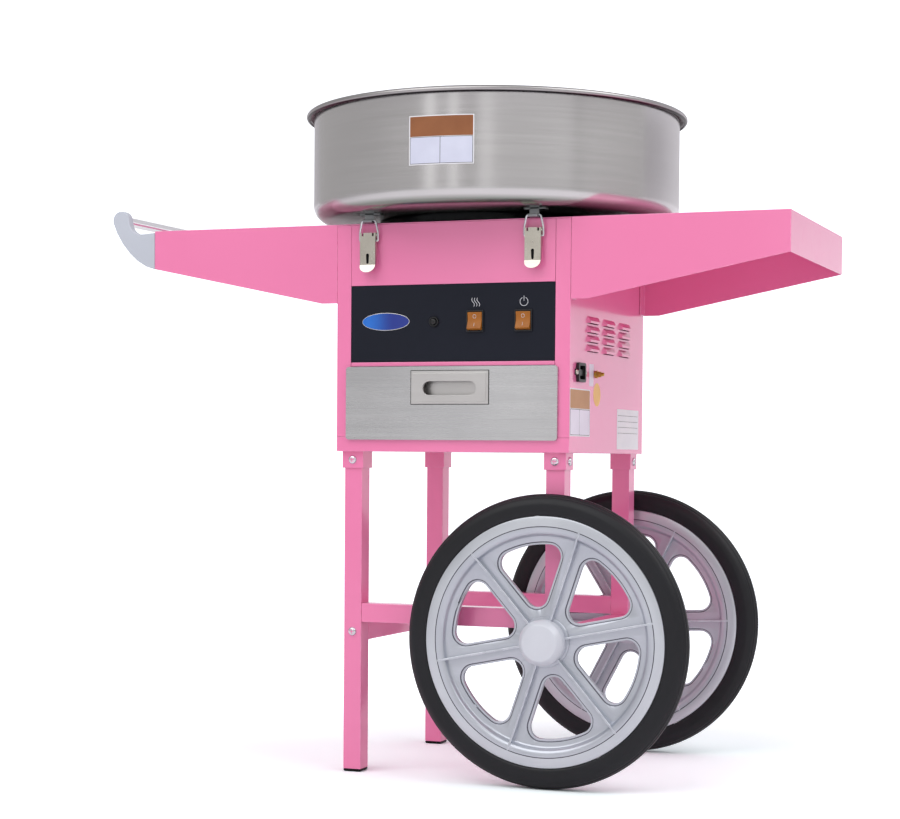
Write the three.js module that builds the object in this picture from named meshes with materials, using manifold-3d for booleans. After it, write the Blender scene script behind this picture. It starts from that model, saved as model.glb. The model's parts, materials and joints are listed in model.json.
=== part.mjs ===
// A candy floss machine on a two-wheeled cart, in millimetres, with Z up and the front facing -Y.
// A square sheet steel cabinet carries the bowl and the spinning head, has a drawer and two side
// wings, and stands on four square tubes: two end in feet, two sit on the axle of the wheels.
import * as THREE from 'three';
import { mergeVertices } from 'three/addons/utils/BufferGeometryUtils.js';
import Module from 'manifold-3d';

const wasm = await Module();
wasm.setup();

// Clearances
const SEAT = 0.3; // between pieces that seat on each other
const SEAM = 0.5; // shut line between two sheets of the cabinet
const PIN_CLEAR = 0.3; // round a pin in its hole

// Cabinet
const BODY_W = 326; // width along X
const BODY_D = 326; // depth along Y
const BODY_H = 300; // from the underside to the top deck
const BODY_BASE = 428; // height of the underside above the floor
const SHEET = 1.5; // sheet steel of the cabinet and the wings
const POST_W = 20; // corner post folded from each side sheet
const BAND_H = 19; // rim of the base pan
const DECK_HOLE_R = 25; // hole in the deck for the spindle
const RAIL_Z = 112; // underside of the rail above the drawer, from the cabinet's underside
const RAIL_H = 5.5; // visible edge of that rail
const PANEL_H = 100; // black control panel
const PANEL_T = 2; // its thickness

// Louvres in both side sheets
const LOUVRE_COLUMNS = 3;
const LOUVRE_ROWS = 4;
const LOUVRE_W = 48;
const LOUVRE_H = 9;
const LOUVRE_OUT = 4; // height of the pressed hood
const LOUVRE_PITCH_Y = 70;
const LOUVRE_PITCH_Z = 12.3;
const LOUVRE_TOP = 179; // top of the first row, from the cabinet's underside
const LOUVRE_SKIN = 1.1; // sheet left in the hood

// Power inlet and earth terminal in the right side sheet
const INLET_Y = -123;
const INLET_Z = 104; // from the cabinet's underside, as the terminal
const INLET_W = 29;
const INLET_H = 25;
const INLET_OUT = 4;
const INLET_DEPTH = 22;
const TERMINAL_Y = -60;
const TERMINAL_R = 2.5;
const TERMINAL_OUT = 13;

// Drawer
const DRAWER_W = 296; // front sheet
const DRAWER_H = 96;
const DRAWER_PROUD = 4; // the front stands this far in front of the posts
const DRAWER_SHEET = 1.2;
const DRAWER_SIDE_GAP = 5; // between the posts and the box
const DRAWER_DEPTH = 290;
const DRAWER_BOX_H = 76;
const RUNNER_RISE = 3; // top of the runner above the rim of the base pan
const RUNNER_LEDGE = 30;
const RUNNER_FLANGE = 25;
const PULL_W = 108; // recessed finger pull
const PULL_H = 43;
const PULL_DROP = 27.5; // its centre below the top of the drawer front
const PULL_PROUD = 1.5;
const PULL_WALL = 2;
const PULL_DEPTH = 16;
const PULL_SLOT_W = 75;
const PULL_SLOT_H = 18;

// Rocker switches and reset button on the control panel
const POWER_X = 100;
const HEAT_X = 33.5;
const SWITCH_Z = 169.5; // centre, from the cabinet's underside, as the button
const SWITCH_W = 24;
const SWITCH_H = 28;
const SWITCH_BEZEL = 1; // border round the rocker
const SWITCH_FLANGE = 2.2; // thickness of that border
const SWITCH_DEPTH = 15;
const ROCKER_TILT = 9; // degrees to either side
const BUTTON_X = -24;
const BUTTON_R = 4;
const BUTTON_OUT = 5;
const BUTTON_LIP = 1.5; // collar that keeps the button behind its bushing
const BUSHING_R = 6.4;
const BUSHING_OUT = 2.2;
const BUSHING_IN = 4;

// Bowl and its seal
const BOWL_R = 249.5; // outside of the wall
const BOWL_H = 145; // from the flat bottom to the top of the rim
const BOWL_WALL = 1.5;
const BOWL_CORNER = 21;
const RIM_ROLL = 5.25; // radius of the rolled rim across
const RIM_RISE = 4.3; // and up
const BOWL_HOLE_R = 22;
const BOWL_COLLAR = 12;
const GASKET_R = 160;
const GASKET_W = 32;
const GASKET_H = 11.4;

// Toggle latches: pivot on the cabinet, wire loop on the lever, keeper under the bowl
const LATCH_INSET = 48; // middle of a latch from the cabinet's sides
const LATCH_DROP = 15.5; // pivot below the deck
const LATCH_OUT = 6; // pivot in front of the sheet
const LATCH_THROW = 8; // from the pivot down to the loop's hinge
const LATCH_TOGGLE = 0.6; // the loop's hinge lies this much inside the pivot
const LEVER_W = 22;
const LEVER_L = 52;
const LEVER_RISE = 2.3; // lever above its pivot
const LEVER_T = 1.2;
const LEVER_FACE = 4.5; // outer face in front of the pivot
const LEVER_FLANGE = 7.8; // depth of the folded sides
const LEVER_FLARE = 4; // outward bend of the tip
const LEVER_TIP = 10; // length of that bend
const LATCH_PIN_R = 1.5;
const EAR_WALL = 0.6; // round the pin in the ears
const WIRE_R = 1.4;
const LOOP_HALF = 12.9; // foot of each leg of the loop from its middle
const LOOP_NECK = 9.6; // its top, as the loop narrows above the pivot
const LOOP_L = 26.5;
const LOOP_LEAN = 1.6; // the loop's top stands this much further out than its hinge
const LOOP_ROUND = 3;
const KEEPER_W = 13;
const KEEPER_T = 1.5;
const KEEPER_FLANGE = 30;
const KEEPER_ROOM = 2.9; // inside the hook, in front of the wire

// Wings and push handle
const WING_RIGHT = 283;
const WING_LEFT = 277;
const WING_ROOT_H = 104;
const WING_END_H = 52;
const WING_LEVEL = 23; // level stretch of the lower edge beside the cabinet
const HANDLE_REACH = 66;
const HANDLE_HEAD_R = 12.6;
const HANDLE_HEAD_Z = 16.5; // centre of the head above the deck
const HANDLE_T = 12;
const HANDLE_INSET = 2; // the plate's top edge below the wing's at its root
const BAR_R = 6.5;
const BAR_SOCKET = 7; // depth of the hole for the bar

// Stand
const TUBE = 25; // square tube
const TUBE_WALL = 1.5;
const LEG_INSET = 21; // middle of a leg from the cabinet's faces
const SOCKET_W = 30;
const SOCKET_H = 22;
const SCREW_R = 5.6;
const SCREW_H = 3.2;
const BAR_GAP = 0.6; // between the side bars and the bars above them
const SHORT_LEG = 19; // the right legs end this far below the axle
const FOOT_SOLE = 3.5;
const FOOT_PLUG = 14;
const AXLE_R = 6;

// Wheels
const WHEEL_R = 188;
const WHEEL_OUT = 21; // middle of the wheel in front of the cabinet's face
const TYRE_W = 33;
const RIM_R = 160;
const RIM_W = 28;
const DISH_R = 137; // the dish starts inside this radius
const WINDOW_R = 124;
const WEB_T = 10;
const SPOKES = 6;
const FRONT_WHEEL_TURN = 11.5; // degrees of a spoke above the level, as the wheels stand
const BACK_WHEEL_TURN = 2.3;
const SPOKE_W = 30;
const WINDOW_ROUND = 15;
const RIB_T = 3;
const HUB_R = 33;
const HUB_CAP_R = 29;
const HUB_CAP_OUT = 30; // top of the cap from the wheel's middle
const HUB_BACK = 28; // inner end of the hub from the wheel's middle
const TYRE_ROUND = 18; // depth of the tyre's rounded crown
const WHEEL_FACETS = 32;

// Drive and spinning head
const SPINDLE_R = 6;
const MOTOR_R = 52;
const MOTOR_H = 82;
const MOTOR_DROP = 58; // top of the motor below the deck
const MOUNT_T = 3;
const MOUNT_W = 126;
const MOUNT_POST_R = 6;
const SLIP_RING_R = 18;
const SLIP_RING_H = 26;
const BRUSH_GAP = 0.4;
const HEAD_R = 72;
const HEAD_Z = 60; // underside of the head above the bowl's bottom
const HEAD_CUP_H = 14;
const HEAD_WALL = 2;
const HEATER_T = 4;
const HEATER_H = 34;
const HEATER_RIBS = 14;
const WELL_R = 28; // sugar well in the cap
const HEAD_HUB_R = 10;
const CAP_T = 3;
const HEAD_FACETS = 20;

// Levels and faces that follow from the sizes above
const BODY_TOP = BODY_BASE + BODY_H;
const DECK_UNDER = BODY_TOP - SHEET;
const HALF_W = BODY_W / 2;
const HALF_D = BODY_D / 2;
const BAY_HALF = HALF_W - POST_W; // between the posts
const BAND_TOP = BODY_BASE + BAND_H;
const RAIL_UNDER = BODY_BASE + RAIL_Z;
const PANEL_Z = RAIL_UNDER + RAIL_H + SEAM;
const PANEL_TOP = PANEL_Z + PANEL_H;
const DRAWER_TOP = RAIL_UNDER - SEAM;
const DRAWER_BACK = HALF_D + SEAT; // inner edge of the drawer front, from the middle
const DRAWER_FACE = HALF_D + DRAWER_PROUD;
const DRAWER_HALF = BAY_HALF - DRAWER_SIDE_GAP;
const RUNNER_TOP = BAND_TOP + RUNNER_RISE;
const PULL_Z = DRAWER_TOP - PULL_DROP;
const GASKET_Z = BODY_TOP + SEAT;
const BOWL_Z = GASKET_Z + GASKET_H + SEAT;
const LATCH_X = HALF_W - LATCH_INSET;
const PIVOT_Z = BODY_TOP - LATCH_DROP;
const HINGE_Z = PIVOT_Z - LATCH_THROW;
const HINGE_OUT = LATCH_OUT - LATCH_TOGGLE;
const LOOP_TOP = HINGE_Z + LOOP_L;
const LOOP_OUT = HINGE_OUT + LOOP_LEAN;
const LEG_X = HALF_W - LEG_INSET;
const LEG_Y = HALF_D - LEG_INSET;
const LEG_TOP = BODY_BASE - SEAT;
const AXLE_Z = WHEEL_R;
const FRONT_BAR_Z = AXLE_Z + TUBE + BAR_GAP;
const WHEEL_Y = HALF_D + WHEEL_OUT;
const HEAD_UNDER = BOWL_Z + HEAD_Z;
const HEAD_FLOOR = HEAD_UNDER + HEAD_WALL + 1;
const CAP_Z = HEAD_FLOOR + HEATER_H + 2 * SEAT;
const MOTOR_TOP = BODY_TOP - MOTOR_DROP;
const MOUNT_TOP = MOTOR_TOP + SEAT + MOUNT_T;
const LEFT_REACH = HALF_W + WING_LEFT + HANDLE_REACH;
const RIGHT_REACH = HALF_W + WING_RIGHT;

const X = new THREE.Vector3(1, 0, 0);
const Y = new THREE.Vector3(0, 1, 0);
const Z = new THREE.Vector3(0, 0, 1);
const radians = THREE.MathUtils.degToRad;

// Shapes

function slab(x0, x1, y0, y1, z0, z1) {
  const box = new THREE.BoxGeometry(Math.abs(x1 - x0), Math.abs(y1 - y0), Math.abs(z1 - z0));
  return box.translate((x0 + x1) / 2, (y0 + y1) / 2, (z0 + z1) / 2);
}

function outline(points) {
  return new THREE.Shape(points.map(([a, b]) => new THREE.Vector2(a, b)));
}

// A shape drawn in X and Z, pulled along Y from y0 to y1
function pullY(shape, y0, y1, curveSegments = 6) {
  const depth = y1 - y0;
  const solid = new THREE.ExtrudeGeometry(shape, { depth, bevelEnabled: false, curveSegments });
  solid.applyMatrix4(new THREE.Matrix4().makeBasis(X, Z, Y.clone().negate()));
  return solid.translate(0, y1, 0);
}

// A shape drawn in Y and Z, pulled along X from x0 to x1
function pullX(shape, x0, x1, curveSegments = 6) {
  const depth = x1 - x0;
  const solid = new THREE.ExtrudeGeometry(shape, { depth, bevelEnabled: false, curveSegments });
  solid.applyMatrix4(new THREE.Matrix4().makeBasis(Y, Z, X));
  return solid.translate(x0, 0, 0);
}

// A shape drawn in X and Y, pulled up from z0 to z1
function pullZ(shape, z0, z1, curveSegments = 6) {
  const depth = z1 - z0;
  const solid = new THREE.ExtrudeGeometry(shape, { depth, bevelEnabled: false, curveSegments });
  return solid.translate(0, 0, z0);
}

// A profile of radius and length spun round Y
function spinY(profile, segments) {
  return new THREE.LatheGeometry(profile.map(([r, l]) => new THREE.Vector2(r, l)), segments);
}

// A profile of radius and height spun round Z
function spinZ(profile, segments) {
  return spinY(profile, segments).rotateX(Math.PI / 2);
}

function closed(profile) {
  return [...profile, profile[0]];
}

function arc(cx, cy, rx, ry, from, to, steps) {
  return Array.from({ length: steps + 1 }, (_, i) => {
    const angle = radians(from + ((to - from) * i) / steps);
    return [cx + rx * Math.cos(angle), cy + ry * Math.sin(angle)];
  });
}

function rodX(radius, x0, x1, y, z, segments = 8) {
  const rod = new THREE.CylinderGeometry(radius, radius, x1 - x0, segments);
  return rod.rotateZ(Math.PI / 2).translate((x0 + x1) / 2, y, z);
}

function rodY(radius, y0, y1, x, z, segments = 12) {
  const rod = new THREE.CylinderGeometry(radius, radius, y1 - y0, segments);
  return rod.translate(x, (y0 + y1) / 2, z);
}

function rodZ(radius, z0, z1, x, y, segments = 12) {
  const rod = new THREE.CylinderGeometry(radius, radius, z1 - z0, segments);
  return rod.rotateX(Math.PI / 2).translate(x, y, (z0 + z1) / 2);
}

function roundedSlot(width, height, x, z) {
  const end = height / 2;
  const run = width / 2 - end;
  const slot = new THREE.Shape();
  slot.moveTo(x - run, z - end);
  slot.lineTo(x + run, z - end);
  slot.absarc(x + run, z, end, -Math.PI / 2, Math.PI / 2);
  slot.lineTo(x - run, z + end);
  slot.absarc(x - run, z, end, Math.PI / 2, (3 * Math.PI) / 2);
  return slot;
}

function roundedBox(width, height, radius, x, z) {
  const w = width / 2 - radius;
  const h = height / 2 - radius;
  const shape = new THREE.Shape();
  shape.absarc(x + w, z + h, radius, 0, Math.PI / 2);
  shape.absarc(x - w, z + h, radius, Math.PI / 2, Math.PI);
  shape.absarc(x - w, z - h, radius, Math.PI, (3 * Math.PI) / 2);
  shape.absarc(x + w, z - h, radius, (3 * Math.PI) / 2, 2 * Math.PI);
  shape.closePath();
  return shape;
}

// A line through chosen points, for a bent wire: a step of the sweep at each of them
class WirePath extends THREE.Curve {
  constructor(points) {
    super();
    this.points = points;
  }

  index(u) {
    return Math.round(u * (this.points.length - 1));
  }

  getPointAt(u) {
    return this.points[this.index(u)].clone();
  }

  getTangentAt(u) {
    const i = this.index(u);
    const before = this.points[Math.max(i - 1, 0)];
    const after = this.points[Math.min(i + 1, this.points.length - 1)];
    return after.clone().sub(before).normalize();
  }
}

// A domed screw head that points along -Y from the face at y
function screwHead(x, y, z) {
  const sunk = 0.4;
  const dome = [[SCREW_R, SCREW_H * 0.4], [SCREW_R * 0.6, SCREW_H], [0, SCREW_H]];
  const head = spinY([[0, -sunk], [SCREW_R, -sunk], ...dome], 8);
  return head.rotateX(Math.PI).translate(x, y, z);
}

// Joins and cuts

function toSolid(geometry) {
  const bare = geometry.clone();
  bare.deleteAttribute('normal');
  bare.deleteAttribute('uv');
  const merged = mergeVertices(bare, 1e-4);
  const corners = merged.index.array;
  const triVerts = [];
  for (let i = 0; i < corners.length; i += 3) {
    const [a, b, c] = [corners[i], corners[i + 1], corners[i + 2]];
    if (a !== b && b !== c && c !== a) {
      triVerts.push(a, b, c);
    }
  }
  const vertProperties = new Float32Array(merged.attributes.position.array);
  const build = (list) =>
    new wasm.Manifold(new wasm.Mesh({ numProp: 3, vertProperties, triVerts: new Uint32Array(list) }));
  const solid = build(triVerts);
  return solid.volume() > 0 ? solid : build(triVerts.reverse());
}

function toGeometry(solid) {
  const { vertProperties, triVerts } = solid.getMesh();
  const geometry = new THREE.BufferGeometry();
  geometry.setAttribute('position', new THREE.BufferAttribute(new Float32Array(vertProperties), 3));
  geometry.setIndex(Array.from(triVerts));
  geometry.computeVertexNormals();
  return geometry;
}

// All of add joined, with all of cut taken away
function build(add, cut = []) {
  let solid = add.map(toSolid).reduce((a, b) => a.add(b));
  for (const tool of cut.map(toSolid)) {
    solid = solid.subtract(tool);
  }
  return toGeometry(solid);
}

function common(a, b) {
  return toGeometry(toSolid(a).intersect(toSolid(b)));
}

// Materials
const FINISH = {
  pink: { color: 0xf27ab4, roughness: 0.35, metalness: 0 },
  steel: { color: 0xc4c4c2, roughness: 0.35, metalness: 1 },
  nickel: { color: 0xb9b8aa, roughness: 0.3, metalness: 1 },
  chrome: { color: 0xe4e6e8, roughness: 0.1, metalness: 1 },
  brass: { color: 0xc99b3e, roughness: 0.35, metalness: 1 },
  aluminium: { color: 0xc9ccd0, roughness: 0.4, metalness: 1 },
  black: { color: 0x141416, roughness: 0.45, metalness: 0 },
  rubber: { color: 0x232327, roughness: 0.75, metalness: 0 },
  orange: { color: 0xf0642a, roughness: 0.35, metalness: 0 },
  grey: { color: 0xb4b8c4, roughness: 0.5, metalness: 0 },
  silver: { color: 0xc6c8d2, roughness: 0.45, metalness: 0.2 },
  ceramic: { color: 0xd8cdbb, roughness: 0.7, metalness: 0 },
};

const cart = new THREE.Group();

function piece(name, geometry, finish, parent = cart) {
  const mesh = new THREE.Mesh(geometry, new THREE.MeshStandardMaterial(FINISH[finish]));
  mesh.name = name;
  parent.add(mesh);
  return mesh;
}

// Cabinet

function basePan() {
  const add = [slab(-HALF_W, HALF_W, -HALF_D, HALF_D, BODY_BASE, BAND_TOP)];
  const inside = { x: HALF_W - SHEET, y: HALF_D - SHEET };
  const cut = [slab(-inside.x, inside.x, -inside.y, inside.y, BODY_BASE + SHEET, BAND_TOP + 1)];
  const half = SOCKET_W / 2;
  const bore = TUBE / 2 + SEAT;
  const low = BODY_BASE - SOCKET_H;
  for (const sx of [-1, 1]) {
    for (const sy of [-1, 1]) {
      const [x, y] = [sx * LEG_X, sy * LEG_Y];
      add.push(slab(x - half, x + half, y - half, y + half, low, BODY_BASE + SHEET / 2));
      cut.push(slab(x - bore, x + bore, y - bore, y + bore, low - 1, BODY_BASE));
      const screwZ = BODY_BASE - SOCKET_H / 2;
      const facing = screwHead(0, -half, 0);
      add.push(facing.clone().rotateZ(sy < 0 ? 0 : Math.PI).translate(x, y, screwZ));
      add.push(facing.clone().rotateZ((sx * Math.PI) / 2).translate(x, y, screwZ));
    }
  }
  return build(add, cut);
}

// One pressed louvre on the right side sheet: the hood and the space inside it
function louvre(y, top) {
  const low = top - LOUVRE_H;
  const brow = low + LOUVRE_H * 0.35;
  const slope = LOUVRE_OUT;
  const hood = (half, out, high, mid, floor, back) => {
    const face = new THREE.Shape();
    face.moveTo(-half, 0);
    face.lineTo(half, 0);
    face.lineTo(half - slope, out);
    face.lineTo(-half + slope, out);
    face.closePath();
    const side = outline([[back, floor], [out + 1, floor], [out, mid], [0, high], [back, high]]);
    const across = new THREE.ExtrudeGeometry(side, { depth: 2 * half, bevelEnabled: false });
    across.applyMatrix4(new THREE.Matrix4().makeBasis(X, Z, Y.clone().negate()));
    across.translate(0, half, 0);
    const plan = outline([[back, -half], [0, -half], [out, -half + slope], [out, half - slope],
      [0, half], [back, half]]);
    const upright = pullZ(plan, floor - 1, high + 1);
    return common(across, upright).translate(HALF_W, y, 0);
  };
  const half = LOUVRE_W / 2;
  const skin = LOUVRE_SKIN;
  return {
    hood: hood(half, LOUVRE_OUT, top, brow, low, -SHEET / 2),
    space: hood(half - skin, LOUVRE_OUT - skin, top - skin, brow - skin / 2, low - 0.5, -2 * SHEET),
  };
}

function sidePanel(side) {
  const low = BAND_TOP + SEAT;
  const high = DECK_UNDER - SEAT;
  const add = [slab(BAY_HALF, HALF_W, -HALF_D, HALF_D, low, high)];
  const inner = HALF_D - SHEET;
  const cut = [slab(BAY_HALF - 1, HALF_W - SHEET, -inner, inner, low - 1, high + 1)];
  for (let column = 0; column < LOUVRE_COLUMNS; column += 1) {
    for (let row = 0; row < LOUVRE_ROWS; row += 1) {
      const y = (column - (LOUVRE_COLUMNS - 1) / 2) * LOUVRE_PITCH_Y;
      const { hood, space } = louvre(y, BODY_BASE + LOUVRE_TOP - row * LOUVRE_PITCH_Z);
      add.push(hood);
      cut.push(space);
    }
  }
  if (side > 0) {
    const hole = roundedBox(INLET_W - 2, INLET_H - 2, 2, INLET_Y, BODY_BASE + INLET_Z);
    cut.push(pullX(hole, HALF_W - 2 * SHEET, HALF_W + 1, 1));
    const stud = TERMINAL_R + PIN_CLEAR;
    cut.push(rodX(stud, HALF_W - 2 * SHEET, HALF_W + 1, TERMINAL_Y, BODY_BASE + INLET_Z));
  }
  const panel = build(add, cut);
  return side > 0 ? panel : panel.rotateZ(Math.PI);
}

function topDeck() {
  return build(
    [slab(-HALF_W, HALF_W, -HALF_D, HALF_D, DECK_UNDER, BODY_TOP)],
    [rodZ(DECK_HOLE_R, DECK_UNDER - 1, BODY_TOP + 1, 0, 0, 24)],
  );
}

// The fixed half of a latch on the front sheet: a plate with two ears that hold the pivot pin
function latchBase(x) {
  const earHalf = LEVER_W / 2 - LEVER_T - SEAT;
  const face = -HALF_D;
  const sunk = SHEET / 2;
  const low = PIVOT_Z - LEVER_L * 0.75;
  const earTop = PIVOT_Z + LATCH_PIN_R + EAR_WALL;
  const earLow = PIVOT_Z - LATCH_PIN_R - 2;
  const tip = LATCH_OUT + LATCH_PIN_R + EAR_WALL;
  const ear = (x0, x1) => slab(x0, x1, face - tip, face + sunk, earLow, earTop);
  return [
    slab(x - earHalf, x + earHalf, face - SHEET, face + sunk, low, earTop),
    ear(x - earHalf, x - earHalf + SHEET),
    ear(x + earHalf - SHEET, x + earHalf),
    rodX(LATCH_PIN_R, x - LEVER_W / 2, x + LEVER_W / 2, face - LATCH_OUT, PIVOT_Z),
  ];
}

function facePanel(low, high) {
  const half = BAY_HALF - SEAM;
  const sheet = slab(-half, half, -HALF_D, -HALF_D + SHEET, low, high);
  return build([sheet, ...latchBase(-LATCH_X), ...latchBase(LATCH_X)]);
}

// Rail above the drawer, with the shelf that closes off the drawer's bay
function drawerShelf() {
  const half = BAY_HALF - SEAM;
  const back = HALF_D - SHEET - SEAT;
  const top = RAIL_UNDER + RAIL_H;
  return build([
    slab(-half, half, -HALF_D, -HALF_D + SHEET, RAIL_UNDER, top),
    slab(-half, half, -HALF_D + SHEET / 2, back, top - SHEET, top),
  ]);
}

// Control panel

const SWITCH_LEVEL = BODY_BASE + SWITCH_Z;
const SWITCH_BODY_W = SWITCH_W - 2 * SWITCH_BEZEL;
const SWITCH_BODY_H = SWITCH_H - 2 * SWITCH_BEZEL;

function controlPanel() {
  const half = BAY_HALF - SEAM;
  const face = -HALF_D;
  const back = face + PANEL_T;
  const add = [slab(-half, half, face, back, PANEL_Z, PANEL_TOP)];
  add.push(rodY(BUSHING_R, face - BUSHING_OUT, face + BUSHING_IN, BUTTON_X, SWITCH_LEVEL, 12));
  const bore = BUTTON_R + PIN_CLEAR;
  const cut = [rodY(bore, face - BUSHING_OUT - 1, face + BUSHING_IN + 1, BUTTON_X, SWITCH_LEVEL)];
  for (const x of [HEAT_X, POWER_X]) {
    const [w, h] = [SWITCH_BODY_W / 2 + SEAT, SWITCH_BODY_H / 2 + SEAT];
    cut.push(slab(x - w, x + w, face - 1, back + 1, SWITCH_LEVEL - h, SWITCH_LEVEL + h));
  }
  return build(add, cut);
}

const ROCKER_WALL = 0.8;
const ROCKER_SWING = SWITCH_BODY_H / 2 - ROCKER_WALL - 0.4; // radius of the rocker's ends

function switchHousing(x) {
  const face = -HALF_D - SEAT;
  const flange = roundedBox(SWITCH_W, SWITCH_H, 1.5, x, SWITCH_LEVEL);
  const [w, h] = [SWITCH_BODY_W / 2, SWITCH_BODY_H / 2];
  const back = face + SWITCH_DEPTH;
  const [wi, hi] = [w - ROCKER_WALL, h - ROCKER_WALL];
  const floor = back - ROCKER_WALL;
  return build(
    [
      pullY(flange, face - SWITCH_FLANGE, face, 1),
      slab(x - w, x + w, face - SWITCH_FLANGE / 2, back, SWITCH_LEVEL - h, SWITCH_LEVEL + h),
    ],
    [slab(x - wi, x + wi, face - SWITCH_DEPTH, floor, SWITCH_LEVEL - hi, SWITCH_LEVEL + hi)],
  );
}

// The rocker tips about the middle of its ends' arc, in the plane of the panel
function rocker(x) {
  const reach = 25; // degrees that each end's arc runs to either side
  const top = arc(0, 0, ROCKER_SWING, ROCKER_SWING, 90 - reach, 90 + reach, 6);
  const low = arc(0, 0, ROCKER_SWING, ROCKER_SWING, 270 - reach, 270 + reach, 6);
  const waist = ROCKER_SWING * Math.sin(radians(reach)) * 0.45;
  const half = SWITCH_BODY_W / 2 - ROCKER_WALL - 0.4;
  const solid = pullX(outline([...top, [-waist, 0], ...low]), -half, half);
  return solid.rotateX(-radians(ROCKER_TILT)).translate(x, -HALF_D - SEAT, SWITCH_LEVEL);
}

function resetButton() {
  const tip = -HALF_D - BUTTON_OUT;
  const lip = -HALF_D + BUSHING_IN + SEAT;
  const stem = lip + BUTTON_LIP;
  const crown = 0.8;
  const profile = [[0, tip], [BUTTON_R - crown, tip], [BUTTON_R, tip + crown], [BUTTON_R, lip],
    [BUTTON_R + BUTTON_LIP, lip], [BUTTON_R + BUTTON_LIP, stem], [0, stem]];
  return spinY(profile, 12).translate(BUTTON_X, 0, SWITCH_LEVEL);
}

// Inlet and terminal

function powerInlet() {
  const z = BODY_BASE + INLET_Z;
  const face = HALF_W + SEAT;
  const [w, h] = [INLET_W - 2 - 2 * SEAT, INLET_H - 2 - 2 * SEAT];
  const wall = 2.5;
  const add = [
    pullX(roundedBox(INLET_W + 1, INLET_H, 3, INLET_Y, z), face, face + INLET_OUT, 1),
    pullX(roundedBox(w, h, 2, INLET_Y, z), HALF_W - INLET_DEPTH, face + INLET_OUT / 2, 1),
  ];
  const mouth = roundedBox(w - 2 * wall, h - 2 * wall, 2, INLET_Y, z);
  const floor = HALF_W - INLET_DEPTH + wall;
  const cavity = pullX(mouth, floor, face + INLET_OUT + 1, 1);
  const shell = build(add, [cavity]);
  const pins = [-1, 0, 1].map((step) => {
    const [y, rise] = [INLET_Y + step * 6, step === 0 ? 2 : -2];
    return slab(floor - 1, face, y - 1, y + 1, z + rise - 2, z + rise + 2);
  });
  const screws = [-1, 1].map((sign) => {
    const y = INLET_Y + sign * (INLET_W / 2 + 2.5);
    return rodX(3, face, face + INLET_OUT - 1, y, z, 8);
  });
  const reach = INLET_W / 2 + 6;
  const ears = slab(face, face + 1.5, INLET_Y - reach, INLET_Y + reach, z - 4, z + 4);
  return build([shell, ...pins, ...screws, ears]);
}

function earthTerminal() {
  const z = BODY_BASE + INLET_Z;
  const face = HALF_W + SEAT;
  const nut = new THREE.CylinderGeometry(5, 5, 4, 6);
  const wing = new THREE.CylinderGeometry(3.6, 3.6, 5, 8);
  const along = (solid, x) => solid.rotateZ(Math.PI / 2).translate(x, TERMINAL_Y, z);
  return build([
    rodX(TERMINAL_R, HALF_W - 12, face + TERMINAL_OUT, TERMINAL_Y, z),
    along(nut, face + 2),
    along(wing, face + 6.4),
    along(new THREE.CylinderGeometry(5.5, 5.5, 2, 6), HALF_W - SHEET - SEAT - 1),
  ]);
}

// Drawer

function drawerBox() {
  const low = RUNNER_TOP + SEAT;
  const high = low + DRAWER_BOX_H;
  const front = -HALF_D + 0.5;
  const back = front + DRAWER_DEPTH;
  const t = DRAWER_SHEET;
  const half = DRAWER_HALF;
  const window = { w: PULL_W / 2 - 4 + SEAT, h: PULL_H / 2 - 4 + SEAT };
  return build(
    [slab(-half, half, front, back, low, high)],
    [
      slab(-half + t, half - t, front + t, back - t, low + t, high + 1),
      slab(-window.w, window.w, front - 1, front + 2 * t, PULL_Z - window.h, PULL_Z + window.h),
    ],
  );
}

// Folded pan of brushed steel that stands in front of the posts
function drawerFront() {
  const half = DRAWER_W / 2;
  const low = DRAWER_TOP - DRAWER_H;
  const middle = (DRAWER_TOP + low) / 2;
  const t = DRAWER_SHEET;
  const skin = pullY(roundedBox(DRAWER_W, DRAWER_H, 4, 0, middle), -DRAWER_FACE, -DRAWER_BACK, 2);
  const window = { w: PULL_W / 2 - 4 + SEAT, h: PULL_H / 2 - 4 + SEAT };
  return build(
    [skin],
    [
      slab(-half + t, half - t, -DRAWER_FACE + t, -DRAWER_BACK + 1, low + t, DRAWER_TOP - t),
      slab(-window.w, window.w, -DRAWER_FACE - 1, -HALF_D, PULL_Z - window.h, PULL_Z + window.h),
    ],
  );
}

// Finger pull: a bevelled plate over the drawer front, with a pocket behind its slot
function drawerPull() {
  const plate = -DRAWER_FACE - SEAT;
  const front = plate - PULL_PROUD;
  const [w, h] = [PULL_W / 2, PULL_H / 2];
  const bevel = 3;
  const rim = outline([[-w, -h], [w, -h], [w, h], [-w, h]]);
  const crown = outline([[-w + bevel, -h + bevel], [w - bevel, -h + bevel], [w - bevel, h - bevel],
    [-w + bevel, h - bevel]]);
  const body = slab(-w + 4, w - 4, front + 0.5, plate + PULL_DEPTH, -h + 4, h - 4);
  const slot = roundedSlot(PULL_SLOT_W, PULL_SLOT_H, 0, -1);
  const inside = slab(-w + 4 + PULL_WALL, w - 4 - PULL_WALL, plate + PULL_WALL,
    plate + PULL_DEPTH - PULL_WALL, -h + 4 + PULL_WALL, h - 4 - PULL_WALL);
  const made = build(
    [pullY(rim, front + PULL_PROUD * 0.6, plate), pullY(crown, front, plate), body],
    [pullY(slot, front - 1, plate + PULL_WALL + 1, 4), inside],
  );
  return made.translate(0, 0, PULL_Z);
}

function drawerRunner(side) {
  const wall = HALF_W - SHEET - SEAT;
  const front = -HALF_D + SHEET + SEAT;
  const back = HALF_D - SHEET - SEAT;
  const runner = build([
    slab(wall - RUNNER_LEDGE, wall, front, back, RUNNER_TOP - SHEET, RUNNER_TOP),
    slab(wall - SHEET, wall, front, back, RUNNER_TOP - SHEET, RUNNER_TOP + RUNNER_FLANGE),
  ]);
  return side > 0 ? runner : runner.rotateZ(Math.PI);
}

// Bowl

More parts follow.
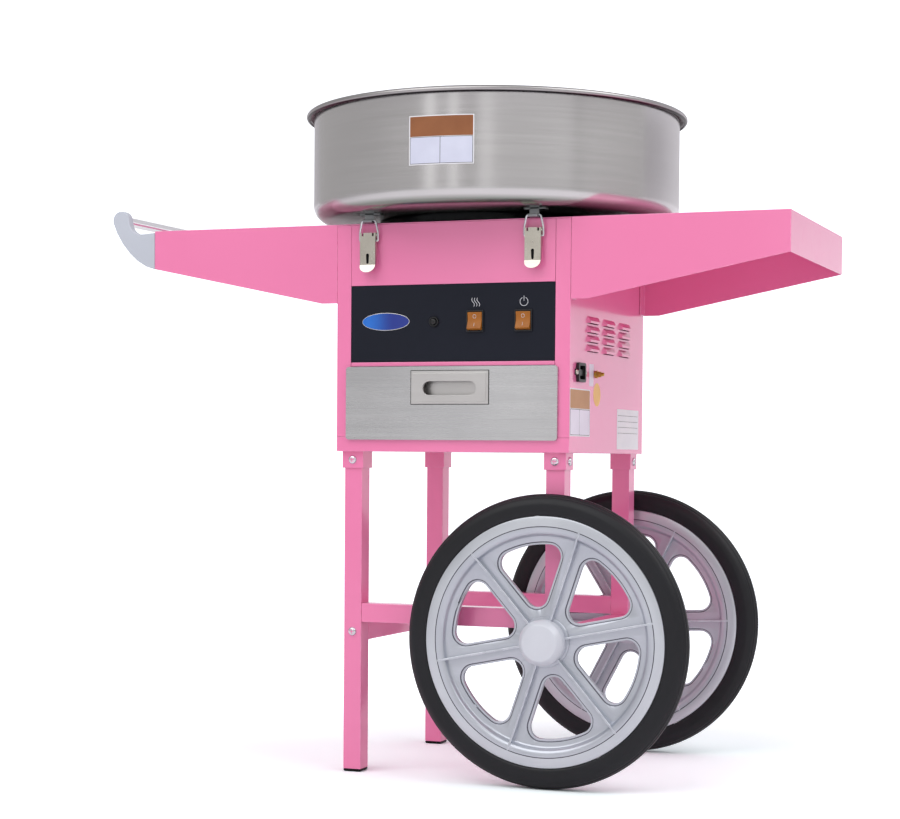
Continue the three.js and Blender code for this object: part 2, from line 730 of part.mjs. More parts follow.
function bowl() {
  const rimZ = BOWL_Z + BOWL_H - RIM_RISE;
  const wall = BOWL_WALL;
  const inner = BOWL_R - wall;
  const corner = arc(BOWL_R - BOWL_CORNER, BOWL_Z + BOWL_CORNER, BOWL_CORNER, BOWL_CORNER, -90, 0, 3);
  const cornerIn = arc(BOWL_R - BOWL_CORNER, BOWL_Z + BOWL_CORNER, BOWL_CORNER - wall,
    BOWL_CORNER - wall, 0, -90, 2);
  const roll = arc(BOWL_R + RIM_ROLL, rimZ, RIM_ROLL, RIM_RISE, -90, 90, 4);
  const collar = BOWL_HOLE_R + wall;
  const profile = closed([
    [BOWL_HOLE_R, BOWL_Z], ...corner, [BOWL_R, rimZ - RIM_RISE], ...roll,
    [inner, rimZ + RIM_RISE * 0.5], ...cornerIn, [collar, BOWL_Z + wall],
    [collar, BOWL_Z + BOWL_COLLAR], [BOWL_HOLE_R, BOWL_Z + BOWL_COLLAR],
  ]);
  const keepers = [-1, 1].flatMap((sx) => [keeper(sx, -1), keeper(sx, 1)]);
  return build([spinZ(profile, 40), ...keepers]);
}

// Hook under the bowl that a latch's wire loop pulls down
function keeper(sx, sy) {
  const back = LOOP_OUT - WIRE_R - 0.4 - KEEPER_T;
  const front = LOOP_OUT + WIRE_R + KEEPER_ROOM;
  const floor = LOOP_TOP - WIRE_R - SEAT;
  const lipTop = LOOP_TOP + 1;
  const t = KEEPER_T;
  const hook = outline([
    [-back, BOWL_Z + BOWL_WALL / 2], [-back, floor - t], [-front, floor - t],
    [-front - t, floor], [-front - t, lipTop], [-front, lipTop], [-front, floor + t / 2],
    [-front + t / 2, floor], [-back - t, floor], [-back - t, BOWL_Z + BOWL_WALL / 2],
  ]);
  const half = KEEPER_W / 2;
  const flange = slab(-KEEPER_FLANGE / 2, KEEPER_FLANGE / 2, -back - t, 14 - back, BOWL_Z - t,
    BOWL_Z + BOWL_WALL / 2);
  const made = build([pullX(hook, -half, half), flange]);
  return made.translate(0, -HALF_D, 0).rotateZ(sy < 0 ? 0 : Math.PI).translate(sx * LATCH_X, 0, 0);
}

function gasket() {
  const inner = GASKET_R - GASKET_W;
  const top = GASKET_Z + GASKET_H;
  const lip = 2;
  return build([spinZ(closed([[inner, GASKET_Z], [GASKET_R, GASKET_Z], [GASKET_R, top - lip],
    [GASKET_R - lip, top], [inner, top]]), 36)]);
}

// Latches

function latchLever() {
  const face = -LATCH_OUT - LEVER_FACE;
  const top = PIVOT_Z + LEVER_RISE;
  const tip = top - LEVER_L;
  const bend = tip + LEVER_TIP;
  const t = LEVER_T;
  const half = LEVER_W / 2;
  const side = outline([
    [face, top], [face, bend], [face - LEVER_FLARE, tip], [face - LEVER_FLARE + t * 1.2, tip],
    [face + t, bend], [face + t, top],
  ]);
  const round = half * 0.8;
  const front = new THREE.Shape();
  front.moveTo(-half, top);
  front.lineTo(-half, tip + round);
  front.quadraticCurveTo(-half, tip, 0, tip);
  front.quadraticCurveTo(half, tip, half, tip + round);
  front.lineTo(half, top);
  front.closePath();
  const web = common(pullX(side, -half, half), pullY(front, face - LEVER_FLARE - 1, 0, 3));
  const back = face + LEVER_FLANGE;
  const fold = outline([[face, top], [face, bend], [face + t, bend], [back, HINGE_Z - 8],
    [back, top]]);
  const hinge = -HINGE_OUT;
  return build(
    [web, pullX(fold, -half, -half + t), pullX(fold, half - t, half)],
    [
      rodX(LATCH_PIN_R + PIN_CLEAR, -half - 1, half + 1, -LATCH_OUT, PIVOT_Z),
      rodX(WIRE_R + PIN_CLEAR, -half - 1, half + 1, hinge, HINGE_Z),
      pullY(roundedBox(3.4, 13, 1.6, 0, bend + 7.5), face - 1, face + t + 1, 1),
    ],
  );
}

// The loop is one bent wire: its ends turn in through the lever's sides
function latchLoop() {
  const at = (x, z) => {
    const lean = (LOOP_LEAN * (z - HINGE_Z)) / LOOP_L;
    return new THREE.Vector3(x, -HINGE_OUT - lean, z);
  };
  const end = LEVER_W / 2 - LEVER_T - 0.7;
  const bendLow = 1.6;
  const waist = PIVOT_Z + 3;
  const half = [[end, HINGE_Z, 0], [LOOP_HALF, HINGE_Z, bendLow], [LOOP_HALF, waist, 0],
    [LOOP_NECK, LOOP_TOP, LOOP_ROUND]];
  const corners = [...half, ...half.map(([x, z, round]) => [-x, z, round]).reverse()];
  const points = corners.flatMap(([x, z, round], i) => {
    const corner = at(x, z);
    if (round === 0) {
      return [corner];
    }
    const towards = (step) => {
      const [nx, nz] = corners[i + step];
      return corner.clone().add(at(nx, nz).sub(corner).setLength(round));
    };
    return new THREE.QuadraticBezierCurve3(towards(-1), corner, towards(1)).getPoints(2);
  });
  const section = outline(arc(0, 0, WIRE_R, WIRE_R, 0, 300, 5));
  const path = new WirePath(points);
  return build([new THREE.ExtrudeGeometry(section, { extrudePath: path, steps: points.length - 1 })]);
}

// Wings

function wing(length) {
  const inner = HALF_W + SEAT;
  const outer = HALF_W + length;
  const level = HALF_W + WING_LEVEL;
  const root = BODY_TOP - WING_ROOT_H;
  const end = BODY_TOP - WING_END_H;
  const face = HALF_D;
  const side = outline([[inner, BODY_TOP], [outer, BODY_TOP], [outer, end], [level, root],
    [inner, root]]);
  const t = SHEET;
  const fold = POST_W;
  const hollow = slab(inner - 1, outer - t, -face + t, face - t, root - 1, BODY_TOP - t);
  const flange = (y0, y1) => slab(inner, inner + t, y0, y1, root, BODY_TOP - t / 2);
  const shell = build([pullY(side, -face, face)], [hollow]);
  return build([shell, flange(-face + t / 2, -face + fold), flange(face - fold, face - t / 2)]);
}

// Grey side plate of the push handle, drawn outwards from the wing's end
function handlePlate() {
  const low = -WING_END_H;
  const head = { x: HANDLE_REACH - HANDLE_HEAD_R, z: HANDLE_HEAD_Z };
  const r = HANDLE_HEAD_R;
  const neck = head.x - r;
  const shape = new THREE.Shape();
  shape.moveTo(SEAT, low);
  shape.bezierCurveTo(HANDLE_REACH * 0.42, low + 4, HANDLE_REACH * 0.86, low + 36, HANDLE_REACH,
    head.z - 3);
  shape.absarc(head.x, head.z, r, -0.05, Math.PI);
  shape.bezierCurveTo(neck, head.z - 16, neck - 12, -HANDLE_INSET - 1.5, neck - 20,
    -HANDLE_INSET - 1.5);
  shape.lineTo(SEAT, -HANDLE_INSET);
  shape.closePath();
  const plate = pullY(shape, 0, HANDLE_T, 6);
  const inside = HANDLE_T - BAR_SOCKET;
  return build([plate], [rodY(BAR_R + SEAT, inside, HANDLE_T + 1, head.x, head.z, 16)]);
}

// Stand

function leg(bottom, extra) {
  const half = TUBE / 2;
  const bore = half - TUBE_WALL;
  const add = [slab(-half, half, -half, half, bottom, LEG_TOP), ...extra.add];
  return build(add, [slab(-bore, bore, -bore, bore, bottom - 1, LEG_TOP + 1), ...extra.cut]);
}

function longLeg() {
  return leg(FOOT_SOLE + SEAT, { add: [screwHead(0, -TUBE / 2, AXLE_Z)], cut: [] });
}

function shortLeg() {
  const bore = rodY(AXLE_R + PIN_CLEAR, -TUBE, TUBE, 0, AXLE_Z);
  return leg(AXLE_Z - SHORT_LEG, { add: [], cut: [bore] });
}

function foot() {
  const half = TUBE / 2;
  const plug = half - TUBE_WALL - SEAT;
  const toe = 1.5;
  const sole = spinZ([[0, 0], [(half - toe) * Math.SQRT2, 0], [half * Math.SQRT2, toe],
    [half * Math.SQRT2, FOOT_SOLE], [0, FOOT_SOLE]], 4).rotateZ(Math.PI / 4);
  return build([sole, slab(-plug, plug, -plug, plug, FOOT_SOLE / 2, FOOT_SOLE + FOOT_PLUG)]);
}

function barX(z) {
  const half = LEG_X - TUBE / 2 - SEAT;
  const [o, i] = [TUBE / 2, TUBE / 2 - TUBE_WALL];
  return build([slab(-half, half, -o, o, z - o, z + o)],
    [slab(-half - 1, half + 1, -i, i, z - i, z + i)]);
}

function barY(z) {
  const half = LEG_Y - TUBE / 2 - SEAT;
  const [o, i] = [TUBE / 2, TUBE / 2 - TUBE_WALL];
  return build([slab(-o, o, -half, half, z - o, z + o)],
    [slab(-i, i, -half - 1, half + 1, z - i, z + i)]);
}

// Wheels

// One window between two spokes, as a rounded triangle with an arc for its outer side
function spokeWindow(middle) {
  const half = Math.PI / SPOKES;
  const d = SPOKE_W / 2;
  const r = WINDOW_ROUND;
  const inner = (d + r) / Math.sin(half);
  const rim = WINDOW_R - r;
  const swing = half - Math.asin((d + r) / rim);
  const [x, z] = [rim * Math.cos(swing), rim * Math.sin(swing)];
  const [open, turn] = [180 / SPOKES, (swing * 180) / Math.PI];
  const shape = outline([
    ...arc(inner, 0, r, r, 90 + open, 270 - open, 3), ...arc(x, -z, r, r, -90 - open, -turn, 2),
    ...arc(0, 0, WINDOW_R, WINDOW_R, -turn, turn, 3).slice(1, -1),
    ...arc(x, z, r, r, turn, 90 + open, 2),
  ]);
  return pullY(shape, -WEB_T, WEB_T).rotateY(-middle);
}

// A wheel's profile spun with a flat facet on the floor, at the stated radius
function spinWheel(profile) {
  const fit = 1 / Math.cos(Math.PI / WHEEL_FACETS);
  const fitted = profile.map(([r, l]) => [r * fit, l]);
  return spinY(fitted, WHEEL_FACETS).rotateY(Math.PI / WHEEL_FACETS);
}

function wheelRim(degrees) {
  const face = RIM_W / 2;
  const web = WEB_T / 2;
  const side = [[RIM_R, face], [DISH_R + 2, face], [DISH_R, face - 3], [DISH_R, web]];
  const inside = side.map(([r, l]) => [r, -l]).reverse();
  const disc = spinWheel([[0, -web], ...inside, ...side, [0, web]]);
  const sleeve = HUB_CAP_R * 0.55;
  const hub = spinY([[0, -HUB_BACK], [sleeve, -HUB_BACK], [HUB_R, -web - 2.5], [HUB_R, web + 2.5],
    [HUB_CAP_R, web + 3], [HUB_CAP_R, HUB_CAP_OUT - 7], [HUB_CAP_R - 6, HUB_CAP_OUT],
    [0, HUB_CAP_OUT]], 16);
  const windows = [];
  const ribs = [];
  const turn = radians(degrees);
  for (let i = 0; i < SPOKES; i += 1) {
    const angle = turn + (2 * Math.PI * i) / SPOKES;
    const blade = slab(HUB_CAP_R - 2, DISH_R + 1, -face + 0.5, face - 0.5, -RIB_T / 2, RIB_T / 2);
    ribs.push(blade.rotateY(-angle));
    windows.push(spokeWindow(angle + Math.PI / SPOKES));
  }
  const bore = rodY(AXLE_R + PIN_CLEAR, -HUB_BACK - 1, HUB_CAP_OUT - 6, 0, 0, 12);
  return build([disc, hub, ...ribs], [...windows, bore]);
}

function tyre() {
  const half = TYRE_W / 2;
  const seat = RIM_R + SEAT;
  const crown = arc(WHEEL_R - TYRE_ROUND, 0, TYRE_ROUND, half, 72, -72, 4);
  return build([spinWheel(closed([[seat, half - 2], ...crown, [seat, -half + 2]]))]);
}

// Drive

function motor() {
  const top = MOTOR_TOP;
  const low = top - MOTOR_H;
  const neck = MOTOR_R * 0.42;
  const profile = [[0, low], [neck, low], [neck, low + 6], [MOTOR_R - 6, low + 8],
    [MOTOR_R, low + 16], [MOTOR_R, top - 14], [MOTOR_R - 6, top - 4], [neck, top - 3],
    [neck, top], [0, top]];
  const lug = MOUNT_W / 2 - MOUNT_POST_R - 4;
  const lugs = [45, 135, 225, 315].map((deg) => {
    const reach = lug * Math.SQRT2;
    const arm = slab(MOTOR_R - 12, reach + 7, -7, 7, top - 12, top);
    return arm.rotateZ(radians(deg));
  });
  const bore = rodZ(SPINDLE_R + PIN_CLEAR, top - MOTOR_H * 0.6, top + 1, 0, 0);
  return build([spinZ(profile, 16), ...lugs], [bore]);
}

// Plate over the motor, hung from the deck on four posts
function motorMount() {
  const half = MOUNT_W / 2;
  const low = MOTOR_TOP + SEAT;
  const post = half - MOUNT_POST_R - 4;
  const posts = [];
  for (const sx of [-1, 1]) {
    for (const sy of [-1, 1]) {
      posts.push(rodZ(MOUNT_POST_R, low, DECK_UNDER - SEAT, sx * post, sy * post, 8));
    }
  }
  const hole = rodZ(SLIP_RING_R, low - 1, MOUNT_TOP + 1, 0, 0);
  return build([slab(-half, half, -half, half, low, MOUNT_TOP), ...posts], [hole]);
}

// Spindle with the dome nut that holds the head down
function spindle() {
  const low = MOTOR_TOP - MOTOR_H * 0.6 + 1;
  const seat = CAP_Z - 4;
  const nut = HEAD_HUB_R;
  return build([spinZ([[0, low], [SPINDLE_R, low], [SPINDLE_R, seat + SEAT], [nut, seat + SEAT],
    [nut, seat + 5], [nut * 0.6, seat + 9], [0, seat + 10]], 12)]);
}

const SLIP_Z = MOUNT_TOP + 4;

function slipRings() {
  const bore = SPINDLE_R + SEAT;
  const r = SLIP_RING_R;
  const step = SLIP_RING_H / 5;
  const z = (n) => SLIP_Z + n * step;
  return build([spinZ(closed([[bore, z(0)], [r, z(0)], [r, z(1)], [r - 2, z(1)], [r - 2, z(2)],
    [r, z(2)], [r, z(3)], [r - 2, z(3)], [r - 2, z(4)], [r, z(4)], [r, z(5)], [bore, z(5)]]), 12)]);
}

// Carbon brushes in their holder, standing on the motor plate
function brushHolder() {
  const reach = MOUNT_W / 2 - 8;
  const tip = SLIP_RING_R + BRUSH_GAP - 2;
  const step = SLIP_RING_H / 5;
  const block = slab(SLIP_RING_R + 6, reach, -9, 9, MOUNT_TOP + SEAT, SLIP_Z + SLIP_RING_H);
  const brush = (n) => slab(tip, SLIP_RING_R + 7, -3, 3, SLIP_Z + n * step + 0.6,
    SLIP_Z + (n + 1) * step - 0.6);
  return build([block, brush(1), brush(3)]);
}

// Head

function headCup() {
  const t = HEAD_WALL;
  const bore = SPINDLE_R + SEAT;
  const low = HEAD_UNDER;
  const hubTop = CAP_Z - 4;
  return build([spinZ(closed([
    [bore, low - 8], [HEAD_HUB_R + 4, low - 8], [HEAD_HUB_R + 6, low], [HEAD_R - 3, low],
    [HEAD_R, low + 3], [HEAD_R, low + HEAD_CUP_H], [HEAD_R - t, low + HEAD_CUP_H],
    [HEAD_R - t, HEAD_FLOOR], [HEAD_HUB_R, HEAD_FLOOR], [HEAD_HUB_R, hubTop], [bore, hubTop],
  ]), HEAD_FACETS)]);
}

// Ribbed heater band that stands in the cup
function heater() {
  const outer = HEAD_R - HEAD_WALL - 1;
  const inner = outer - HEATER_T;
  const band = new THREE.Shape();
  const count = HEATER_RIBS * 4;
  for (let i = 0; i < count; i += 1) {
    const angle = (2 * Math.PI * i) / count;
    const r = i % 4 < 2 ? outer : outer - HEATER_T * 0.4;
    const point = [r * Math.cos(angle), r * Math.sin(angle)];
    if (i === 0) {
      band.moveTo(...point);
    } else {
      band.lineTo(...point);
    }
  }
  band.closePath();
  band.holes.push(new THREE.Path(arc(0, 0, inner, inner, 0, 345, 23).map(
    ([x, y]) => new THREE.Vector2(x, y),
  )));
  return build([pullZ(band, HEAD_FLOOR + SEAT, HEAD_FLOOR + SEAT + HEATER_H)]);
}

// Cap with the sugar well, on three posts that stand on the cup's floor
function headCap() {
  const rim = HEAD_R;
  const profile = closed([[WELL_R, CAP_Z], [rim - 2, CAP_Z], [rim - 1, CAP_Z - 3],
    [rim, CAP_Z - 3], [rim, CAP_Z + 1], [rim - 6, CAP_Z + CAP_T + 3], [WELL_R + 4, CAP_Z + CAP_T + 3],
    [WELL_R + 1, CAP_Z + CAP_T + 9], [WELL_R, CAP_Z + CAP_T + 9]]);
  const postR = (WELL_R + HEAD_R) / 2;
  const posts = [90, 210, 330].map((deg) => {
    const [x, y] = arc(0, 0, postR, postR, deg, deg, 1)[0];
    return rodZ(3, HEAD_FLOOR + SEAT, CAP_Z + 1, x, y, 8);
  });
  return build([spinZ(profile, HEAD_FACETS), ...posts]);
}

// Assembly

piece('base_pan', basePan(), 'pink');
piece('left_side_panel', sidePanel(-1), 'pink');
piece('right_side_panel', sidePanel(1), 'pink');
piece('top_deck', topDeck(), 'pink');
piece('upper_front_panel', facePanel(PANEL_TOP + SEAM, DECK_UNDER - SEAT), 'pink');
piece('back_panel', facePanel(BAND_TOP + SEAT, DECK_UNDER - SEAT).rotateZ(Math.PI), 'pink');
piece('drawer_shelf', drawerShelf(), 'pink');
piece('control_panel', controlPanel(), 'black');
for (const [name, x] of [['power', POWER_X], ['heat', HEAT_X]]) {
  piece(`${name}_switch_housing`, switchHousing(x), 'black');
  piece(`${name}_switch_rocker`, rocker(x), 'orange');
}
piece('reset_button', resetButton(), 'black');
piece('power_inlet', powerInlet(), 'black');
piece('earth_terminal', earthTerminal(), 'brass');

piece('drawer_box', drawerBox(), 'steel');
piece('drawer_front', drawerFront(), 'steel');
piece('drawer_pull', drawerPull(), 'grey');
piece('drawer_runner_left', drawerRunner(-1), 'steel');
piece('drawer_runner_right', drawerRunner(1), 'steel');

piece('bowl_seal', gasket(), 'rubber');
piece('bowl', bowl(), 'steel');

for (const [end, turn] of [['front', 0], ['back', Math.PI]]) {
  for (const [hand, sign] of [['left', -1], ['right', 1]]) {
    const latch = new THREE.Group();
    latch.position.set(sign * LATCH_X, turn === 0 ? -HALF_D : HALF_D, 0);
    latch.rotation.z = turn;
    piece(`latch_lever_${end}_${hand}`, latchLever(), 'nickel', latch);
    piece(`latch_loop_${end}_${hand}`, latchLoop(), 'nickel', latch);
    cart.add(latch);
  }
}

piece('right_wing', wing(WING_RIGHT), 'pink');
piece('left_wing', wing(WING_LEFT), 'pink').rotation.z = Math.PI;
const handle = new THREE.Group();
handle.position.set(-HALF_W - WING_LEFT, 0, BODY_TOP);
cart.add(handle);
// The plate is drawn towards +X, so each side's copy is turned to point away from the wing
const backPlate = piece('handle_plate_back', handlePlate(), 'grey', handle);
backPlate.rotation.z = Math.PI;
backPlate.position.y = HALF_D;
const frontPlate = piece('handle_plate_front', handlePlate().scale(-1, 1, 1), 'grey', handle);
frontPlate.geometry = build([frontPlate.geometry]);
frontPlate.position.y = -HALF_D;
const barHalf = HALF_D - HANDLE_T + BAR_SOCKET - SEAT;
const barX0 = -HANDLE_REACH + HANDLE_HEAD_R;
piece('handle_bar', rodY(BAR_R, -barHalf, barHalf, barX0, HANDLE_HEAD_Z, 16), 'chrome', handle);

for (const [end, sy] of [['front', -1], ['back', 1]]) {
  const left = piece(`leg_left_${end}`, longLeg(), 'pink');
  left.position.set(-LEG_X, sy * LEG_Y, 0);
  left.rotation.z = sy < 0 ? 0 : Math.PI;
  piece(`foot_left_${end}`, foot(), 'black').position.set(-LEG_X, sy * LEG_Y, 0);
  piece(`leg_right_${end}`, shortLeg(), 'pink').position.set(LEG_X, sy * LEG_Y, 0);
  piece(`${end}_bar`, barX(FRONT_BAR_Z), 'pink').position.y = sy * LEG_Y;

  const wheel = new THREE.Group();
  wheel.position.set(LEG_X, sy * WHEEL_Y, AXLE_Z);
  wheel.rotation.z = sy < 0 ? Math.PI : 0;
  piece(`wheel_${end}`, wheelRim(sy < 0 ? -FRONT_WHEEL_TURN : BACK_WHEEL_TURN), 'silver', wheel);
  piece(`tyre_${end}`, tyre(), 'rubber', wheel);
  cart.add(wheel);
}
piece('left_side_bar', barY(AXLE_Z), 'pink').position.x = -LEG_X;
piece('right_side_bar', barY(AXLE_Z), 'pink').position.x = LEG_X;
const axleHalf = WHEEL_Y + HUB_CAP_OUT - 8;
piece('axle', rodY(AXLE_R, -axleHalf, axleHalf, LEG_X, AXLE_Z), 'steel');

piece('motor', motor(), 'black');
piece('motor_mount', motorMount(), 'steel');
piece('brush_holder', brushHolder(), 'black');
piece('spindle', spindle(), 'steel');
piece('slip_rings', slipRings(), 'brass');
piece('spinner_cup', headCup(), 'aluminium');
piece('heater_band', heater(), 'ceramic');
piece('spinner_cap', headCap(), 'aluminium');

// The origin is on the floor in the middle of the whole cart's length
cart.position.x = (LEFT_REACH - RIGHT_REACH) / 2;

export default cart;
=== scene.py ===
# %% [markdown]
# # A candy floss machine on its cart
#
# The solids of the cart come packed as a fixed frame in metres: +Z is up and the front faces -Y.
# This notebook gives them the look of the real object: powder-coated sheet steel, a spun and
# brushed bowl, nickel latches, moulded wheels and rubber tyres. Each cell makes one piece or one
# finish: the light and the finishes first, then the large pieces, and the small fittings last.

# %% Load the fixed frame
import json
import math
from contextlib import contextmanager

import bmesh
import bpy
from mathutils import Matrix, Vector

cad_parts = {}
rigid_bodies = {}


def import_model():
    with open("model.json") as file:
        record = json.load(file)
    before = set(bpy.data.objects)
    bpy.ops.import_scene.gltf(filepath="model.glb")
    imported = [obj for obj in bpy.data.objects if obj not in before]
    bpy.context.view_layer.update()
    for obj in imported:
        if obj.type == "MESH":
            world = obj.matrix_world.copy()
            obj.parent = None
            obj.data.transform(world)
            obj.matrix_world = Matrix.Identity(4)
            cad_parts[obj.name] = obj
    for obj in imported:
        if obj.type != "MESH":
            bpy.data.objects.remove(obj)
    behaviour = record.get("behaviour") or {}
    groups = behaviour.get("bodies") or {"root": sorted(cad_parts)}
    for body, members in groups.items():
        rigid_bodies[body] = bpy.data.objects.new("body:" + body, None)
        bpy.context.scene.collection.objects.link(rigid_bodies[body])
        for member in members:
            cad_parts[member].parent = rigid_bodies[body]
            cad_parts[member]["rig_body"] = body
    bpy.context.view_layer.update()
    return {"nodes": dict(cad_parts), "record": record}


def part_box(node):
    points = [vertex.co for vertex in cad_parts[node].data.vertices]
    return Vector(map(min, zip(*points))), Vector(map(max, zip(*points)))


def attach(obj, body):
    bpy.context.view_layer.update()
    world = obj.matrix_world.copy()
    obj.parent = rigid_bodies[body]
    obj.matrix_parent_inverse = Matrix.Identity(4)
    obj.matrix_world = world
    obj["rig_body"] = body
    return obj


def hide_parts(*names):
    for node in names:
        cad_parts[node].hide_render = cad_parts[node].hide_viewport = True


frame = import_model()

mm = 0.001
nodes = frame["nodes"]
body_of = {name: piece["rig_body"] for name, piece in nodes.items()}
slot_of = {part["node"]: part["material_slot"] for part in frame["record"]["subparts"]}

# %% Places of the cabinet and the stand, in mm


def corners(node):
    """A node's lowest and highest corners, in mm."""
    return [[round(v / mm, 2) for v in corner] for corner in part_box(node)]


def middle(node):
    return [(low + high) / 2 for low, high in zip(*corners(node))]


def spot(x, y, z):
    """A place given in mm, as a vector in metres."""
    return Vector((x, y, z)) * mm


(LEFT_X, FRONT_Y, _), (RIGHT_X, BACK_Y, DECK_Z) = corners("top_deck")
MIDDLE_X = (LEFT_X + RIGHT_X) / 2
BOWL_AT = spot(MIDDLE_X, 0, 0)  # on the axis of the cabinet and the bowl
AXLE_X, _, AXLE_Z = middle("wheel_front")
print("cabinet:", RIGHT_X - LEFT_X, "by", BACK_Y - FRONT_Y, "mm, deck at", DECK_Z)

# %% [markdown]
# ## Camera
#
# The camera's place was found by fitting straight edges and circles of the cart, with the
# cabinet's own sizes as the ruler. It stands low, in front and to the right, and looks slightly
# to the left. The picture was cropped off its middle, which a lens shift repeats.

# %% Camera
FRAME_W = 900
FOCAL = 2008.1  # focal length in pixels of that frame
CROP = (51.74, 107.9)  # the lens's axis right of and below the picture's middle, in pixels
EYE = Vector((1.00921, -2.58906, 0.42246))
YAW, PITCH, ROLL = 0.3577, -0.0302, 0.0086
SENSOR = 36

ahead = Vector((-math.sin(YAW) * math.cos(PITCH), math.cos(YAW) * math.cos(PITCH),
                math.sin(PITCH)))
level = Vector((math.cos(YAW), math.sin(YAW), 0))
upright = level.cross(ahead)
right = level * math.cos(ROLL) + upright * math.sin(ROLL)
up = upright * math.cos(ROLL) - level * math.sin(ROLL)

lens = bpy.data.cameras.new("camera")
lens.sensor_width = SENSOR
lens.lens = FOCAL * SENSOR / FRAME_W
lens.shift_x = -CROP[0] / FRAME_W
lens.shift_y = CROP[1] / FRAME_W
lens.clip_end = 100  # metres
camera = bpy.data.objects.new("camera", lens)
camera.matrix_world = Matrix.Translation(EYE) @ Matrix((right, up, -ahead)).transposed().to_4x4()
bpy.context.scene.collection.objects.link(camera)
bpy.context.scene.camera = camera
bpy.context.scene.view_settings.view_transform = "Standard"
print("lens:", round(lens.lens, 2), "mm")

# %% [markdown]
# ## Nodes
#
# The light of the studio and all finishes are node trees. Three helpers keep them short: one
# empties a tree, one fills a socket, and one adds a node with its settings and inputs.

# %% Node helpers


def emptied(owner):
    """The node tree of a material or a world, without the nodes it starts with."""
    owner.use_nodes = True
    owner.node_tree.nodes.clear()
    return owner.node_tree


def put(tree, socket, value):
    """Wires the socket to another one, or sets it to a plain value."""
    if isinstance(value, bpy.types.NodeSocket):
        tree.links.new(value, socket)
    else:
        socket.default_value = value


def add(tree, kind, inputs=None, **settings):
    """A node with its settings and its inputs."""
    made = tree.nodes.new("ShaderNode" + kind)
    for name, value in settings.items():
        setattr(made, name, value)
    for name, value in (inputs or {}).items():
        put(tree, made.inputs[name], value)
    return made


# %% [markdown]
# ## Light
#
# A white studio: the room is an even grey, the sheet of paper behind the cart is bright, and a
# large soft box hangs high in front on the left. A second box lights the right side. Five dim
# upright panels stand from the camera's left round to the right. They only matter to the bowl,
# where they draw its soft bright bands.

# %% World and lamps
ROOM = 0.5  # how bright the room is, 1 being white
PANEL_AWAY = 5  # from the bowl to an upright panel, in metres
PANEL_TALL = 3.4
PANEL_Z, PANEL_AIM_Z = 1.8, 1.4
PANELS = (  # name, degrees from the bowl's front to the right, width, radiance
    ("band_left", -19.5, 0.55, 0.62),
    ("band_middle", -5.0, 0.45, 0.62),
    ("band_right", 14, 0.7, 0.38),
    ("wide_right", 42, 4.6, 0.14),
    ("far_right", 98, 4.6, 0.08),
)

world = bpy.data.worlds.new("studio")
bpy.context.scene.world = world
sky = emptied(world)
white = add(sky, "Background", {"Color": (1, 1, 1, 1)})
room = add(sky, "Background", {"Color": (1, 0.985, 0.975, 1), "Strength": ROOM})
choice = add(sky, "MixShader", {0: add(sky, "LightPath").outputs["Is Camera Ray"],
                                1: room.outputs[0], 2: white.outputs[0]})
add(sky, "OutputWorld", {"Surface": choice.outputs[0]})


def lamp(name, place, aim, wide, tall, radiance):
    """A soft box; radiance 1 shines like white paper in full light."""
    light = bpy.data.lights.new(name, "AREA")
    light.shape = "RECTANGLE"
    light.size = wide
    light.size_y = tall
    light.energy = radiance * math.pi * wide * tall
    holder = bpy.data.objects.new(name, light)
    holder.location = place
    holder.rotation_mode = "QUATERNION"
    holder.rotation_quaternion = (Vector(aim) - Vector(place)).to_track_quat("-Z", "Y")
    bpy.context.scene.collection.objects.link(holder)


lamp("key", (-1.2, -3.0, 3.9), (0, 0, 0.5), 4.6, 3.6, 1.85)
lamp("side", (2.9, -0.2, 3.6), (0.2, 0, 0.5), 4.0, 3.2, 2.06)
for name, degrees, wide, radiance in PANELS:
    turn = math.radians(degrees)
    place = (MIDDLE_X * mm + PANEL_AWAY * math.sin(turn), -PANEL_AWAY * math.cos(turn), PANEL_Z)
    lamp(name, place, (MIDDLE_X * mm, 0, PANEL_AIM_Z), wide, PANEL_TALL, radiance)

# %% [markdown]
# ## Ways of working
#
# Sheet metal pieces keep the solid that was packed: a copy has its doubles merged and its sharp
# edges rounded, because light catches the bend of a folded sheet. Round pieces are turned on a
# lathe: one point is extruded along the profile and the line is spun round its axis. Flat pieces
# are an outline that is filled and extruded.

# %% Selecting and editing
MERGE = 1e-6  # points closer than this, in metres, become one
SHARP = math.radians(30)  # edges that bend more than this get rounded


def only(*pieces):
    bpy.ops.object.select_all(action="DESELECT")
    for piece in pieces:
        piece.select_set(True)
    bpy.context.view_layer.objects.active = pieces[-1]


@contextmanager
def editing(piece):
    only(piece)
    bpy.ops.object.mode_set(mode="EDIT")
    bpy.ops.mesh.select_all(action="SELECT")
    yield
    bpy.ops.object.mode_set(mode="OBJECT")


def pick_edges(test):
    """Selects only the edges that pass the test."""
    bpy.ops.mesh.select_mode(type="EDGE")
    bpy.ops.mesh.select_all(action="DESELECT")
    data = bpy.context.edit_object.data
    mesh = bmesh.from_edit_mesh(data)
    for edge in mesh.edges:
        if test(edge):
            edge.select_set(True)
    mesh.select_flush_mode()
    bmesh.update_edit_mesh(data)


def clean(piece):
    with editing(piece):
        bpy.ops.mesh.remove_doubles(threshold=MERGE)
        bpy.ops.mesh.normals_make_consistent(inside=False)


def modify(piece, kind, **settings):
    only(piece)
    modifier = piece.modifiers.new(kind.title(), kind)
    for name, value in settings.items():
        setattr(modifier, name, value)
    bpy.ops.object.modifier_apply(modifier=modifier.name)


def smooth(piece, degrees=35):
    only(piece)
    bpy.ops.object.shade_smooth_by_angle(angle=math.radians(degrees))


